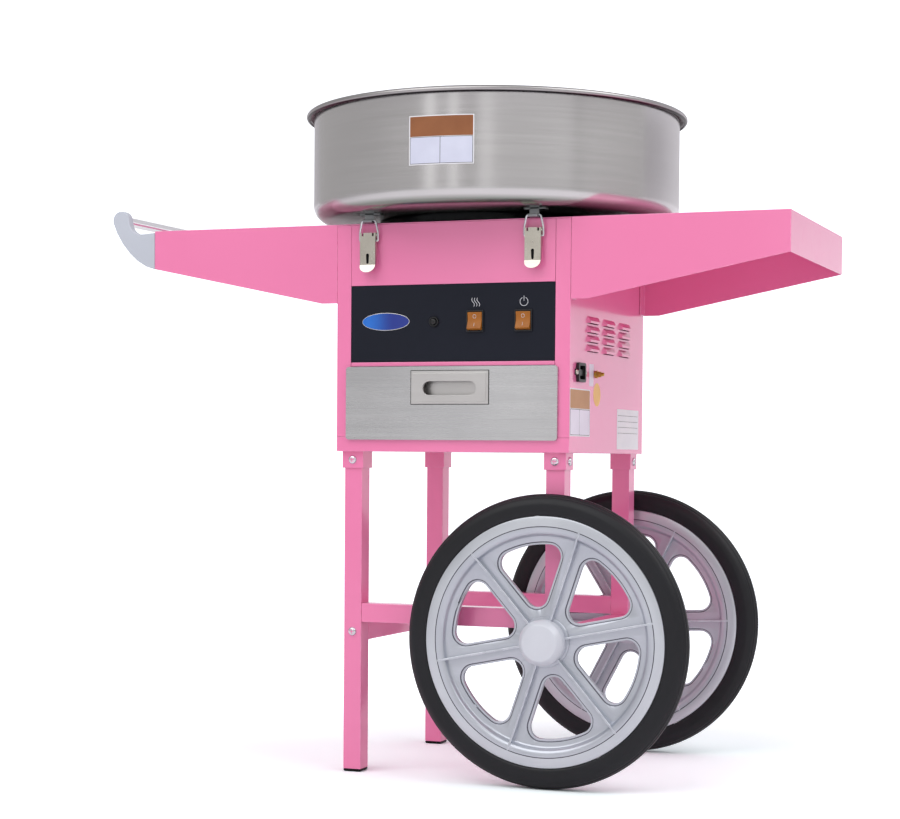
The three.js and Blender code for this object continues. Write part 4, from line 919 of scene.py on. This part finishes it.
def wire(name, points, radius, sides=4):
    """A round wire through the points, with its radius in mm."""
    curve = bpy.data.curves.new(name, "CURVE")
    curve.dimensions = "3D"
    curve.bevel_depth = radius * mm
    curve.bevel_resolution = sides
    curve.use_fill_caps = True
    line = curve.splines.new("POLY")
    line.points.add(len(points) - 1)
    for knot, point in zip(line.points, points):
        knot.co = (*point, 1)
    drawn = bpy.data.objects.new(name, curve)
    bpy.context.scene.collection.objects.link(drawn)
    only(drawn)
    bpy.ops.object.convert(target="MESH")
    smooth(bpy.context.object, 50)
    return bpy.context.object


def lean(z):
    """The loop stands a little farther out as it rises."""
    return -168.4 - 1.6 * (z - LOOP_LOW) / (LOOP_HIGH - LOOP_LOW)


loop_points = [spot(x, lean(z), z) for x, z in LOOP]
loop = wire("loop", bent(loop_points, [r * mm for r in BEND_R]), WIRE_R)

# %% Four latches
for place in ("front_left", "back_right", "front_right", "back_left"):
    move = LATCHES[place]
    for kind, model in (("lever", lever), ("loop", loop)):
        node = f"latch_{kind}_{place}"
        stands_for(copied(model, f"{node}_finished", move), node)
    # A dark plate behind each lever paints the shade seen through its slot and notches
    rides_with(copied(shade_plate, f"latch_shade_plate_{place}", move), f"latch_lever_{place}",
               "black_plastic")
for model in (lever, loop, shade_plate):
    bpy.data.objects.remove(model)
print("latches:", list(LATCHES))

# %% [markdown]
# ## Wheels
#
# A wheel is one moulding: a rim with a bead, a thin disc with six windows and a shallow step
# round each, a rib up the middle of every spoke and a hub under a round cap. It is modelled once
# about the origin with a spoke along X, then copied to both ends of the axle and turned to the
# angle that the wheel stands at.

# %% Rim and disc
WHEEL_OFF = 184  # from the cart's middle to a disc's
SPOKE_AT = {"front": 11.5, "back": 2.3}  # the angle that a spoke stands at
WEB = 5  # from the middle of the disc to either face
RIM_R = 160
GROOVE = (146.1, 147.2)  # a fine groove beside the bead, from and to these radii
GROOVE_Y = 13  # height of its bottom
rim_side = [
    (132, WEB), (134, WEB + 0.5), (135.4, WEB + 1.8), (136, WEB + 3.4),
    *arc(144, 9, 7.6, 180, 90, 6, 5), (GROOVE[0], 14), (146.4, GROOVE_Y), (146.9, GROOVE_Y),
    (GROOVE[1], 14), (158.4, 14), (159.6, 13.5), (RIM_R, 12.4),
]
disc_line = [(22, WEB), *rim_side, *[(r, -w) for r, w in reversed(rim_side)], (22, -WEB)]
wheel = turned("wheel", disc_line, axis="Y", steps=144, closed=True)

# %% Six windows, each with a shallow step round it
SPOKES = 6
HALF_STEP = math.pi / SPOKES
CORNER_OFF = 30  # from a spoke's middle to the middle of a window's round corner
WINDOW_R = 15  # of its round corners
WINDOW_RIM = 124  # its outer edge
WINDOW_END = 131  # beyond the step round it
STEP_W = 2.8
STEP_Y = 3.6  # from the middle of the disc to the step
BEYOND = 9  # clear of the disc's faces


def window(grow):
    """The outline of a window whose middle is on +X, moved out by grow."""
    r, rim = WINDOW_R + grow, WINDOW_RIM + grow
    inner = CORNER_OFF / math.sin(HALF_STEP)
    reach = rim - r
    swing = HALF_STEP - math.asin(CORNER_OFF / reach)
    x, z = reach * math.cos(swing), reach * math.sin(swing)
    open_at, turn = math.degrees(HALF_STEP), math.degrees(swing)
    return [*arc(inner, 0, r, 90 + open_at, 270 - open_at, 10),
            *arc(x, -z, r, -90 - open_at, -turn, 10),
            *arc(0, 0, rim, -turn, turn, 12)[1:-1],
            *arc(x, z, r, turn, 90 + open_at, 10)]


for grow, low, high in ((STEP_W, STEP_Y, BEYOND), (STEP_W, -BEYOND, -STEP_Y),
                        (0, -BEYOND, BEYOND)):
    for k in range(SPOKES):
        tool = plate("window", "Y", -low, window(grow), low - high)
        carved(wheel, moved(tool, Matrix.Rotation(-(2 * k + 1) * HALF_STEP, 4, "Y")))

# %% Softer edges round the windows


def sharp_at(height):
    """Tests for the windows' sharp edges at that distance from the middle of the disc."""
    return lambda e: (len(e.link_faces) == 2 and e.calc_face_angle(0) > 1.0
                      and all(abs(abs(v.co.y) / mm - height) < 0.05
                              and v.co.length < WINDOW_END * mm for v in e.verts))


with editing(wheel):
    pick_edges(sharp_at(WEB))
    bpy.ops.mesh.bevel(offset=0.9 * mm, segments=1, affect="EDGES")
    pick_edges(sharp_at(STEP_Y))
    bpy.ops.mesh.bevel(offset=0.45 * mm, segments=2, affect="EDGES")


def in_groove(face):
    """Whether a face lies in the groove beside the bead or on the side of a window's step."""
    radius = math.hypot(face.center.x, face.center.z) / mm
    height = abs(face.center.y) / mm
    by_bead = GROOVE[0] < radius < GROOVE[1] and height > GROOVE_Y - 0.1
    on_step = radius < WINDOW_END and STEP_Y + 0.02 < height < WEB - 0.03
    return by_bead or on_step and 0.02 < abs(face.normal.y) < 0.95


def on_band(face):
    """Whether a face lies on the brighter band outside the groove."""
    return (math.hypot(face.center.x, face.center.z) > GROOVE[1] * mm
            and abs(face.normal.y) > 0.4)


# Painted shade: the groove beside the bead and the sides of the windows' steps are drawn darker
mark_painted_shade(wheel, "FACE", [float(in_groove(face)) for face in wheel.data.polygons])
wheel.data.materials.append(finishes["wheel_silver"])
second_finish(wheel, "rim_silver", [int(on_band(face)) for face in wheel.data.polygons])
print("wheel faces:", len(wheel.data.polygons))

# %% Ribs, hub and cap
RIB_T = 2.6
side_view = [(27, 12.5), (60, 12), (110, 12), (131, 13.4), (139, 14.4), (146, 14.4),
             (147.4, 13.6), (147.4, 4), (27, 4)]
ribs = [moved(plate("rib", "Z", -RIB_T / 2, [(r, -side * w) for r, w in side_view], RIB_T),
              Matrix.Rotation(-2 * k * HALF_STEP, 4, "Y"))
        for k in range(SPOKES) for side in (1, -1)]
ribs = joined("ribs", *ribs)
round_edges(ribs, 0.6)
hub_line = [(6.4, -28), (14.5, -28), (16, -26.5), (17, -20), (31, -8.2), (33, -7.5), (33, 7),
            (32.3, 7.8), (28.6, 8), (28.6, 12), (6.4, 12)]
hub = turned("hub", hub_line, axis="Y", steps=96, closed=True)
hub_cap_line = [(27.4, 8.2), (29, 8.6), (29, 22.4), (28.7, 23.2), (23.6, 29), (22.8, 29.6),
                (21.8, 29.8), (8, 30), (0.01, 30), (0.01, 24), (8, 24), (8, 8.2)]
hub_cap = turned("cap", hub_cap_line, axis="Y", steps=96, closed=True)
smooth(hub_cap, 28)
for part in (ribs, hub):
    part.data.materials.append(finishes["wheel_silver"])
wheel = joined("wheel", ribs, hub, wheel)
print("wheel faces with ribs and hub:", len(wheel.data.polygons))

# %% Tyre
TREAD = (9, 13, 21, 25)  # steps of the crown that lie in a tread line
TYRE_R = 170  # the middle of the crown's curve
crown = [(TYRE_R + (17.3 if i in TREAD else 18) * math.cos(t),
          (16 if i in TREAD else 16.5) * math.sin(t))
         for i, t in enumerate([math.radians(76 - 152 * i / 34) for i in range(35)])]
foot = [(160.3, 13.4), (161.2, 14.6), (163, 15.3), (166, 15.6), (168.5, 15.7)]
tyre_line = [*foot, *crown, *[(r, -w) for r, w in reversed(foot)]]
tyre = turned("tyre", tyre_line, axis="Y", steps=160, closed=True)

# %% Both wheels on the axle
for end, y, turn in (("front", -WHEEL_OFF, 0), ("back", WHEEL_OFF, 180)):
    move = placing(spot(AXLE_X, y, AXLE_Z), (-SPOKE_AT[end], "Y"), (turn, "Z"))
    made = copied(wheel, f"wheel_{end}_moulded", move)
    chosen = [face.material_index for face in made.data.polygons]
    second_finish(stands_for(made, f"wheel_{end}"), "rim_silver", chosen)
    rides_with(copied(hub_cap, f"hub_cap_{end}", move), f"wheel_{end}", "hub_cap")
    stands_for(copied(tyre, f"tyre_{end}_moulded", move), f"tyre_{end}")
for model in (wheel, hub_cap, tyre):
    bpy.data.objects.remove(model)

# %% [markdown]
# ## Handle bar
#
# A polished chrome tube between the two side plates; its ends sit in them.

# %% Handle bar
BAR_AT = spot(-463.4, 0, 744.5)
bar_line = [(0.02, -157.7), (6.1, -157.7), (6.5, -157.3), (6.5, -80), (6.5, 0), (6.5, 80),
            (6.5, 157.3), (6.1, 157.7), (0.02, 157.7)]
stands_for(turned("bar_turned", bar_line, BAR_AT, "Y", 48), "handle_bar")

# %% [markdown]
# ## Bowl seal
#
# A soft black ring between the deck and the bowl keeps sugar out of the cabinet. It is squeezed a
# little, so its skin is uneven and glints.

# %% Seal
seal_line = [(128, 729.2), (128.9, 728.3), (158.4, 728.3), (160, 729.9), (160, 737.4),
             (159.3, 738.9), (157.6, 739.7), (130, 739.7), (128.5, 739.2), (128, 738)]
stands_for(turned("seal_moulded", seal_line, BOWL_AT, "Z", 144, closed=True), "bowl_seal")

# %% [markdown]
# ## Spinning head
#
# The head is turned from aluminium: a shallow cup on the spindle, the ribbed heater band in it and
# a cap with the sugar well, held by three posts and a domed nut.

# %% Cup
cup_line = [(6.3, 792), (13.2, 792), (14, 792.8), (15.8, 799.2), (17, 800), (69, 800),
            (71.2, 800.9), (72, 803), (72, 813.4), (71.4, 814), (70.6, 814), (70, 813.4),
            (70, 803.8), (69.2, 803), (11, 803), (10, 804), (10, 833.2), (9.6, 833.6),
            (6.3, 833.6)]
stands_for(turned("cup_turned", cup_line, BOWL_AT, "Z", 120, closed=True), "spinner_cup")

# %% Cap on its posts
POST_OFF = 50  # from the spindle to a post
lid_line = [(28, 838.2), (28.6, 837.6), (69.6, 837.6), (70.4, 837.2), (71, 834.9), (71.5, 834.6),
            (72, 835), (72, 838.2), (71.4, 839.4), (67, 843), (65.4, 843.6), (33, 843.6),
            (31.6, 844.2), (29.4, 849.2), (28.8, 849.6), (28.2, 849.4), (28, 848.8)]
post_line = [(0.02, 803.3), (2.6, 803.3), (3, 803.7), (3, 838), (0.02, 838)]
head_line = [(0.02, 845.6), (1.6, 845.5), (3, 844.9), (3.4, 844), (3.4, 843.4), (0.02, 843.4)]
parts = [turned("lid", lid_line, BOWL_AT, "Z", 120, closed=True)]
for x, y in oval(0, 0, POST_OFF, POST_OFF, 3, 90):
    foot_at = BOWL_AT + spot(x, y, 0)
    parts.append(turned("post", post_line, foot_at, "Z", 20))
    parts.append(turned("head", head_line, foot_at, "Z", 20))
stands_for(joined("cap_turned", *parts), "spinner_cap")

# %% Spindle with its domed nut
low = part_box("spindle")[0][2] / mm
shaft = turned("shaft", [(0.02, low), (5.4, low), (6, low + 0.6), (6, 834), (0.02, 834)], BOWL_AT,
               "Z", 48)
nut = plate("nut", "Z", 833.9, oval(MIDDLE_X, 0, 10, 10, 6), 4.6)
round_edges(nut, 0.5)
dome = turned("dome", [(0.02, 843.6), (2.4, 843.3), (4.6, 842.2), (6.1, 840.4), (6.8, 838.4),
                       (0.02, 838.3)], BOWL_AT, "Z", 48)
stands_for(joined("spindle_turned", shaft, nut, dome), "spindle")

# %% [markdown]
# ## Control panel
#
# The reset button sits in a ringed bushing. The rockers carry the usual circle and stroke, and
# thin printed signs stand above them: heat as three waves, power as an open ring.

# %% Reset button
LEVEL = 597.5  # height of the button and the switches
BUTTON_AT = spot(6, 0, LEVEL)
button = [(0.01, 168), (2.4, 168), (3.4, 167.7), (3.9, 167.1), (4, 166.2), (4, 158.7),
          (5.5, 158.7), (5.5, 157.2), (0.01, 157.2)]
stands_for(turned("button_moulded", button, BUTTON_AT, "Y", 48, closed=True), "reset_button")
ring = [(4.4, 162.9), (6.9, 162.9), (6.9, 164.4), (6.2, 165.5), (5, 165.6), (4.4, 165.2)]
rides_with(turned("button_ring", ring, BUTTON_AT, "Y", 48, closed=True), "control_panel",
           "switch_black")

# %% Circle and stroke on the rockers
SWITCH_AT = {"power": 130, "heat": 63.5}
SWING = 11.8  # radius of a rocker's ends
HALF_OUT, HALF_UP = 0.305 * SWING, 0.453 * SWING  # middle of a half's face, from the axis
ROCKER_Y = FRONT_Y - 0.35  # a little in front of its axis, so that the marks stand proud
TILT = math.radians(9)
SLOPE = math.radians(14.2)  # of each half's face
MARK_R = 0.24
MARK_W, MARK_H = 2.1, 2.4  # half the circle's width and height


def on_rocker(x, across, up, half):
    """A point on the upper (1) or lower (-1) half of a rocker's face."""
    y, z = -HALF_OUT, HALF_UP * half
    slope = SLOPE * half - TILT
    out, rise = y * math.cos(TILT) + z * math.sin(TILT), z * math.cos(TILT) - y * math.sin(TILT)
    return spot(x + across, ROCKER_Y + out - up * math.sin(slope),
                LEVEL + rise + up * math.cos(slope))


for name, x in SWITCH_AT.items():
    circle = [on_rocker(x, across, up, 1)
              for across, up in arc(0, 0, MARK_W, 90, -270, 28, MARK_H)]
    stroke = [on_rocker(x, 0, up, -1) for up in (-MARK_H, 0, MARK_H)]
    for kind, line in (("circle", circle), ("stroke", stroke)):
        rides_with(wire(f"{name}_{kind}", line, MARK_R, 2), f"{name}_switch_rocker", "mark_white")

# %% Signs on the panel
SIGN_Z = 622
POWER_X, HEAT_X = 130.3, 63.9
SIGN_R = 0.42


def sign(name, line):
    """A sign painted on the panel along a line of places across and up."""
    rides_with(wire(name, [spot(x, FRONT_Y, z) for x, z in line], SIGN_R, 2), "control_panel",
               "mark_white")


sign("sign_power_ring", arc(POWER_X, SIGN_Z - 0.4, 5.4, 66, -246, 40))
sign("sign_power_stroke", [(POWER_X, SIGN_Z + 0.6), (POWER_X, SIGN_Z + 7)])
for k in (-1, 0, 1):
    wave = []
    for s in [i / 16 - 0.5 for i in range(17)]:
        sway = -1.3 * math.sin(s * math.tau) - 2.2 * s
        wave.append((HEAT_X + 3.6 * k + sway, SIGN_Z + 11 * s))
    sign(f"sign_heat_{k + 2}", wave)

# %% [markdown]
# ## Plain badge
#
# An oval enamelled plate in a thin bright rim, left without any lettering.

# %% Badge
BADGE_AT = (-62.5, 598.5)
rim = plate("badge_rim", "Y", -162.9, oval(*BADGE_AT, 33.8, 11.6, 64), -0.8)
round_edges(rim, 0.25)
rides_with(rim, "control_panel", "chrome")
face = plate("badge_enamel", "Y", -163.5, oval(*BADGE_AT, 33.2, 10.9, 64), -0.45)
round_edges(face, 0.3, 3)
rides_with(face, "control_panel", "enamel_blue")

# %% [markdown]
# ## Screws
#
# Domed cross-head screws hold the legs in their sockets and the bars to the legs. One is made
# facing the front and copied to each place.

# %% Cross-head screw
screw = turned("screw", [(0.01, 3.35), (2.2, 3.3), (4.0, 2.85), (5.2, 1.9), (5.75, 0.8),
                         (5.8, -0.3), (0.01, -0.3)], axis="Y", steps=40, closed=True)
W, L = 0.6, 2.9  # half the width and half the length of a cross bar
cross = [(W, W), (L, W), (L, -W), (W, -W), (W, -L), (-W, -L), (-W, -W), (-L, -W), (-L, W),
         (-W, W), (-W, L), (W, L)]
carved(screw, plate("cross", "Y", -4, cross, 2.6))
smooth(screw, 30)
# Painted shade: the faces in the cross recess take a black finish
shaded_recess = [int(face.center.xz.length < 3 * mm and -2.9 * mm < face.center.y < -1 * mm)
          for face in screw.data.polygons]
print("faces in the recess:", sum(shaded_recess), "of", len(shaded_recess))

# %% All screws
LEG_X, _, _ = middle("leg_left_front")
LEG_Y = 142
LEG_HALF = 12.5
SOCKET_HALF = 15
SOCKET_Z = 417
TWIST = 23  # degrees from one head to the next, so that none stand alike


def screw_in(name, node, place, facing, twist):
    """A screw on a node, facing that many degrees from the front."""
    made = copied(screw, name, placing(place, (facing, "Z"), (twist, "Y")))
    rides_with(made, node, "bright_zinc")
    # the black in the recess is painted shade
    second_finish(made, "motor_black", shaded_recess)


heads = []
for side, x in ((-1, LEG_X), (1, AXLE_X)):
    for end, facing in ((-1, 0), (1, 180)):
        y = end * LEG_Y
        heads.append((spot(x, y + end * SOCKET_HALF, SOCKET_Z), facing))
        heads.append((spot(x + side * SOCKET_HALF, y, SOCKET_Z), 90 * side))
for k, (place, facing) in enumerate(heads):
    screw_in(f"socket_screw_{k + 1}", "base_pan", place, facing, TWIST * k)
for end, y, facing in (("front", -LEG_Y - LEG_HALF, 0), ("back", LEG_Y + LEG_HALF, 180)):
    node = f"leg_left_{end}"
    screw_in(f"{node}_screw", node, spot(LEG_X, y, AXLE_Z), facing, 0)
bpy.data.objects.remove(screw)
print("screws on the stand:", len(heads) + 2)

# %% [markdown]
# ## Stickers
#
# The cart carries stickers on the bowl and on its right side. They are kept as plain fields of
# colour: thin films, up to a quarter of a millimetre proud, curved with the bowl where they sit
# on it.

# %% Stickers on the bowl
FILM_T, SIDE_FILM_T = 0.05, 0.06


def film(name, lift, first, last, low, high, look):
    """A film on the bowl between two angles, counted from its front to the right."""
    turn = math.radians(first)
    radius = BOWL_R + lift
    points = [BOWL_AT + spot(radius * math.sin(turn), -radius * math.cos(turn), z)
              for z in (low, (low + high) / 2, high)]
    piece = spun(name, points, 24, math.radians(first - last), BOWL_AT, (0, 0, 1))
    modify(piece, "SOLIDIFY", thickness=FILM_T * mm, offset=0)
    smooth(piece)
    rides_with(piece, "bowl", look)


film("sticker_bowl", 0.08, -5.65, 14.1, 788.3, 850, "label_white")
film("sticker_bowl_band", 0.16, -5.35, 13.8, 823.8, 848.8, "label_brown")
film("sticker_bowl_frame", 0.16, -5.35, 13.8, 789.5, 823.2, "label_ink")
film("sticker_bowl_cell_left", 0.24, -5.2, 4.0, 790.1, 822.6, "label_pale")
film("sticker_bowl_cell_right", 0.24, 4.15, 13.65, 790.1, 822.6, "label_pale")

# %% Stickers on the side


def side_film(name, lift, outline, look):
    """A flat film whose outer face stands that far out from the right side."""
    piece = plate(name, "X", RIGHT_X + lift, outline, -SIDE_FILM_T)
    rides_with(piece, "right_side_panel", look)


side_film("sticker_two_part", 0.1, cut_corners(-161.5, -78.5, 449.5, 511), "label_white")
side_film("sticker_two_part_top", 0.18, cut_corners(-160, -80, 485.5, 509.5), "label_tan")
side_film("sticker_two_part_frame", 0.18, cut_corners(-160, -80, 451, 484.5), "label_ink")
side_film("sticker_two_part_left", 0.26, cut_corners(-159.2, -123, 451.6, 483.9), "label_side")
side_film("sticker_two_part_right", 0.26, cut_corners(-122.2, -80.8, 451.6, 483.9), "label_side")
side_film("sticker_strip", 0.1, cut_corners(-83, -65, 516, 545), "label_side")
side_film("sticker_round", 0.1, oval(-49.5, 505.5, 15.5, 15.5, 48), "label_yellow")
side_film("sticker_plate", 0.14, cut_corners(41, 143, 434, 489), "label_white")
for k, z in enumerate((480, 472, 464, 456)):
    side_film(f"sticker_plate_rule_{k + 1}", 0.18, cut_corners(45, 139, z, z + 0.5, 0.1),
              "label_ink")

# %% [markdown]
# ## Earth terminal
#
# A brass stud with a hexagonal nut against the side, a washer and a knurled nut for the wire.

# %% Earth terminal
STUD_Y, INLET_Z = -60, 532  # the terminal stands at the inlet's height
STUD_AT = spot(0, STUD_Y, INLET_Z)
STUD_X, TURNS = 181, 25  # where its thread starts, and how many turns it has
thread = [(0.02, STUD_X)]
for k in range(TURNS):
    thread += [(2.1, STUD_X + k), (2.5, STUD_X + 0.5 + k)]
thread += [(2.1, STUD_X + TURNS), (1.4, STUD_X + TURNS + 0.3), (0.02, STUD_X + TURNS + 0.3)]
stud = turned("stud", thread, STUD_AT, "X", 24)
smooth(stud, 50)
hexagon = oval(STUD_Y, INLET_Z, 5, 5, 6, 30)
nut = plate("nut", "X", RIGHT_X + 0.3, hexagon, 3.2)
round_edges(nut, 0.4)
washer = turned("washer", [(2.6, 196.6), (5.4, 196.6), (5.4, 197.3), (2.6, 197.3)], STUD_AT, "X",
                32, closed=True)
ridges = zip(oval(STUD_Y, INLET_Z, 3.35, 3.35, 20), oval(STUD_Y, INLET_Z, 3.7, 3.7, 20, 9))
thumb = plate("thumb", "X", 197.4, [point for pair in ridges for point in pair], 4.8)
round_edges(thumb, 0.15)
inner = plate("inner", "X", RIGHT_X - 3, hexagon, 1.0)
stands_for(joined("terminal_turned", washer, nut, thumb, inner, stud), "earth_terminal")

# %% Two screws beside the inlet
for end, y in (("front", -140), ("back", -106)):
    head = turned(f"inlet_screw_{end}", [(0.02, 197.2), (1.8, 197.1), (2.9, 196.6), (3.5, 195.8),
                                         (3.6, 194.7), (0.02, 194.7)],
                  spot(0, y, INLET_Z), "X", 28, closed=True)
    carved(head, plate("slot", "X", 196.4, [(y - 4, INLET_Z - 0.6), (y + 4, INLET_Z + 0.1),
                                            (y + 4, INLET_Z + 0.7), (y - 4, INLET_Z)], 2))
    rides_with(head, "power_inlet", "nickel")

# %% [markdown]
# ## Floor
#
# A sweep of white paper: it lies on the floor and rises behind the cart in one long curve, so no
# horizon shows. It catches the cart's shadow. What the camera sees of it is lifted by a little
# light of its own, so that the ground stays clean white away from the shadow. Mirrored in the
# metal, the lower part of its back glows a little too.

# %% Paper sweep
SWEEP = [Vector((-9, -7, 0)), Vector((-9, 2, 0)), Vector((-9, 6, 0)), Vector((-9, 6, 7))]
STRIPS, STRIP_W = 6, 3  # the sheet is this many strips wide, each so wide in metres
sweep = start("sweep", SWEEP[0])
along(bent(SWEEP, [0.5, 2.6], 10))
bpy.ops.mesh.select_all(action="SELECT")
for _ in range(STRIPS):
    bpy.ops.mesh.extrude_edges_move(TRANSFORM_OT_translate={"value": (STRIP_W, 0, 0)})
bpy.ops.object.mode_set(mode="OBJECT")
clean(sweep)
smooth(sweep)

# %% Paper that looks white to the camera and bright to the metal
UNDER = (0.17, -0.05, 0.0)  # the middle of the cart's shadow
SHADOW_FROM, SHADOW_TO = 0.35, 1.2  # metres from there, between which the glow sets in
GLOW = 0.55
MIRROR_GLOW = 0.32
MIRROR_LOW, MIRROR_FULL, MIRROR_END = 0.1, 1.1, 1.5  # metres over the floor
paper = bpy.data.materials.new("paper")
tree = emptied(paper)
place = add(tree, "TexCoord").outputs["Object"]
fibre = add(tree, "Group", {"Place": place, "Per metre": 300.0}, node_tree=grain).outputs[0]
rays = add(tree, "LightPath").outputs
cream = mixed(tree, fibre, rgb(243, 241, 246), rgb(249, 248, 251))
# The camera sees the paper brighter than white and tinted blue-green: painted light that cancels
# the cart's pink bounce light and gives its shadow a lilac tint
seen = mixed(tree, fibre, (1.19, 1.27, 1.31, 1), (1.21, 1.29, 1.33, 1))
matt = add(tree, "BsdfDiffuse", {"Color": mixed(tree, rays["Is Camera Ray"], cream, seen)})
off = add(tree, "VectorMath", {0: place, 1: UNDER}, operation="SUBTRACT")
away = add(tree, "VectorMath", {0: off.outputs[0]}, operation="LENGTH")
clear = add(tree, "MapRange", {"Value": away.outputs["Value"], "From Min": SHADOW_FROM,
                               "From Max": SHADOW_TO, "To Max": GLOW},
            interpolation_type="SMOOTHSTEP")
height = add(tree, "SeparateXYZ", {0: place}).outputs["Z"]
shining = add(tree, "MapRange", {"Value": height, "From Min": MIRROR_FULL,
                                 "From Max": MIRROR_END, "To Min": MIRROR_GLOW, "To Max": 0.0})
risen = add(tree, "Math", {0: height, 1: MIRROR_LOW}, operation="GREATER_THAN")
sheet = add(tree, "Math", {0: shining.outputs[0], 1: risen.outputs[0]}, operation="MULTIPLY")
mirrored = add(tree, "Math", {0: sheet.outputs[0], 1: rays["Is Glossy Ray"]},
               operation="MULTIPLY")
lift = add(tree, "Math", {0: rays["Is Camera Ray"], 1: clear.outputs[0],
                          2: mirrored.outputs[0]}, operation="MULTIPLY_ADD")
glow = add(tree, "Emission", {"Color": rgb(250, 248, 255), "Strength": lift.outputs[0]})
both = add(tree, "AddShader", {0: matt.outputs[0], 1: glow.outputs[0]})
add(tree, "OutputMaterial", {"Surface": both.outputs[0]})
sweep.data.materials.append(paper)
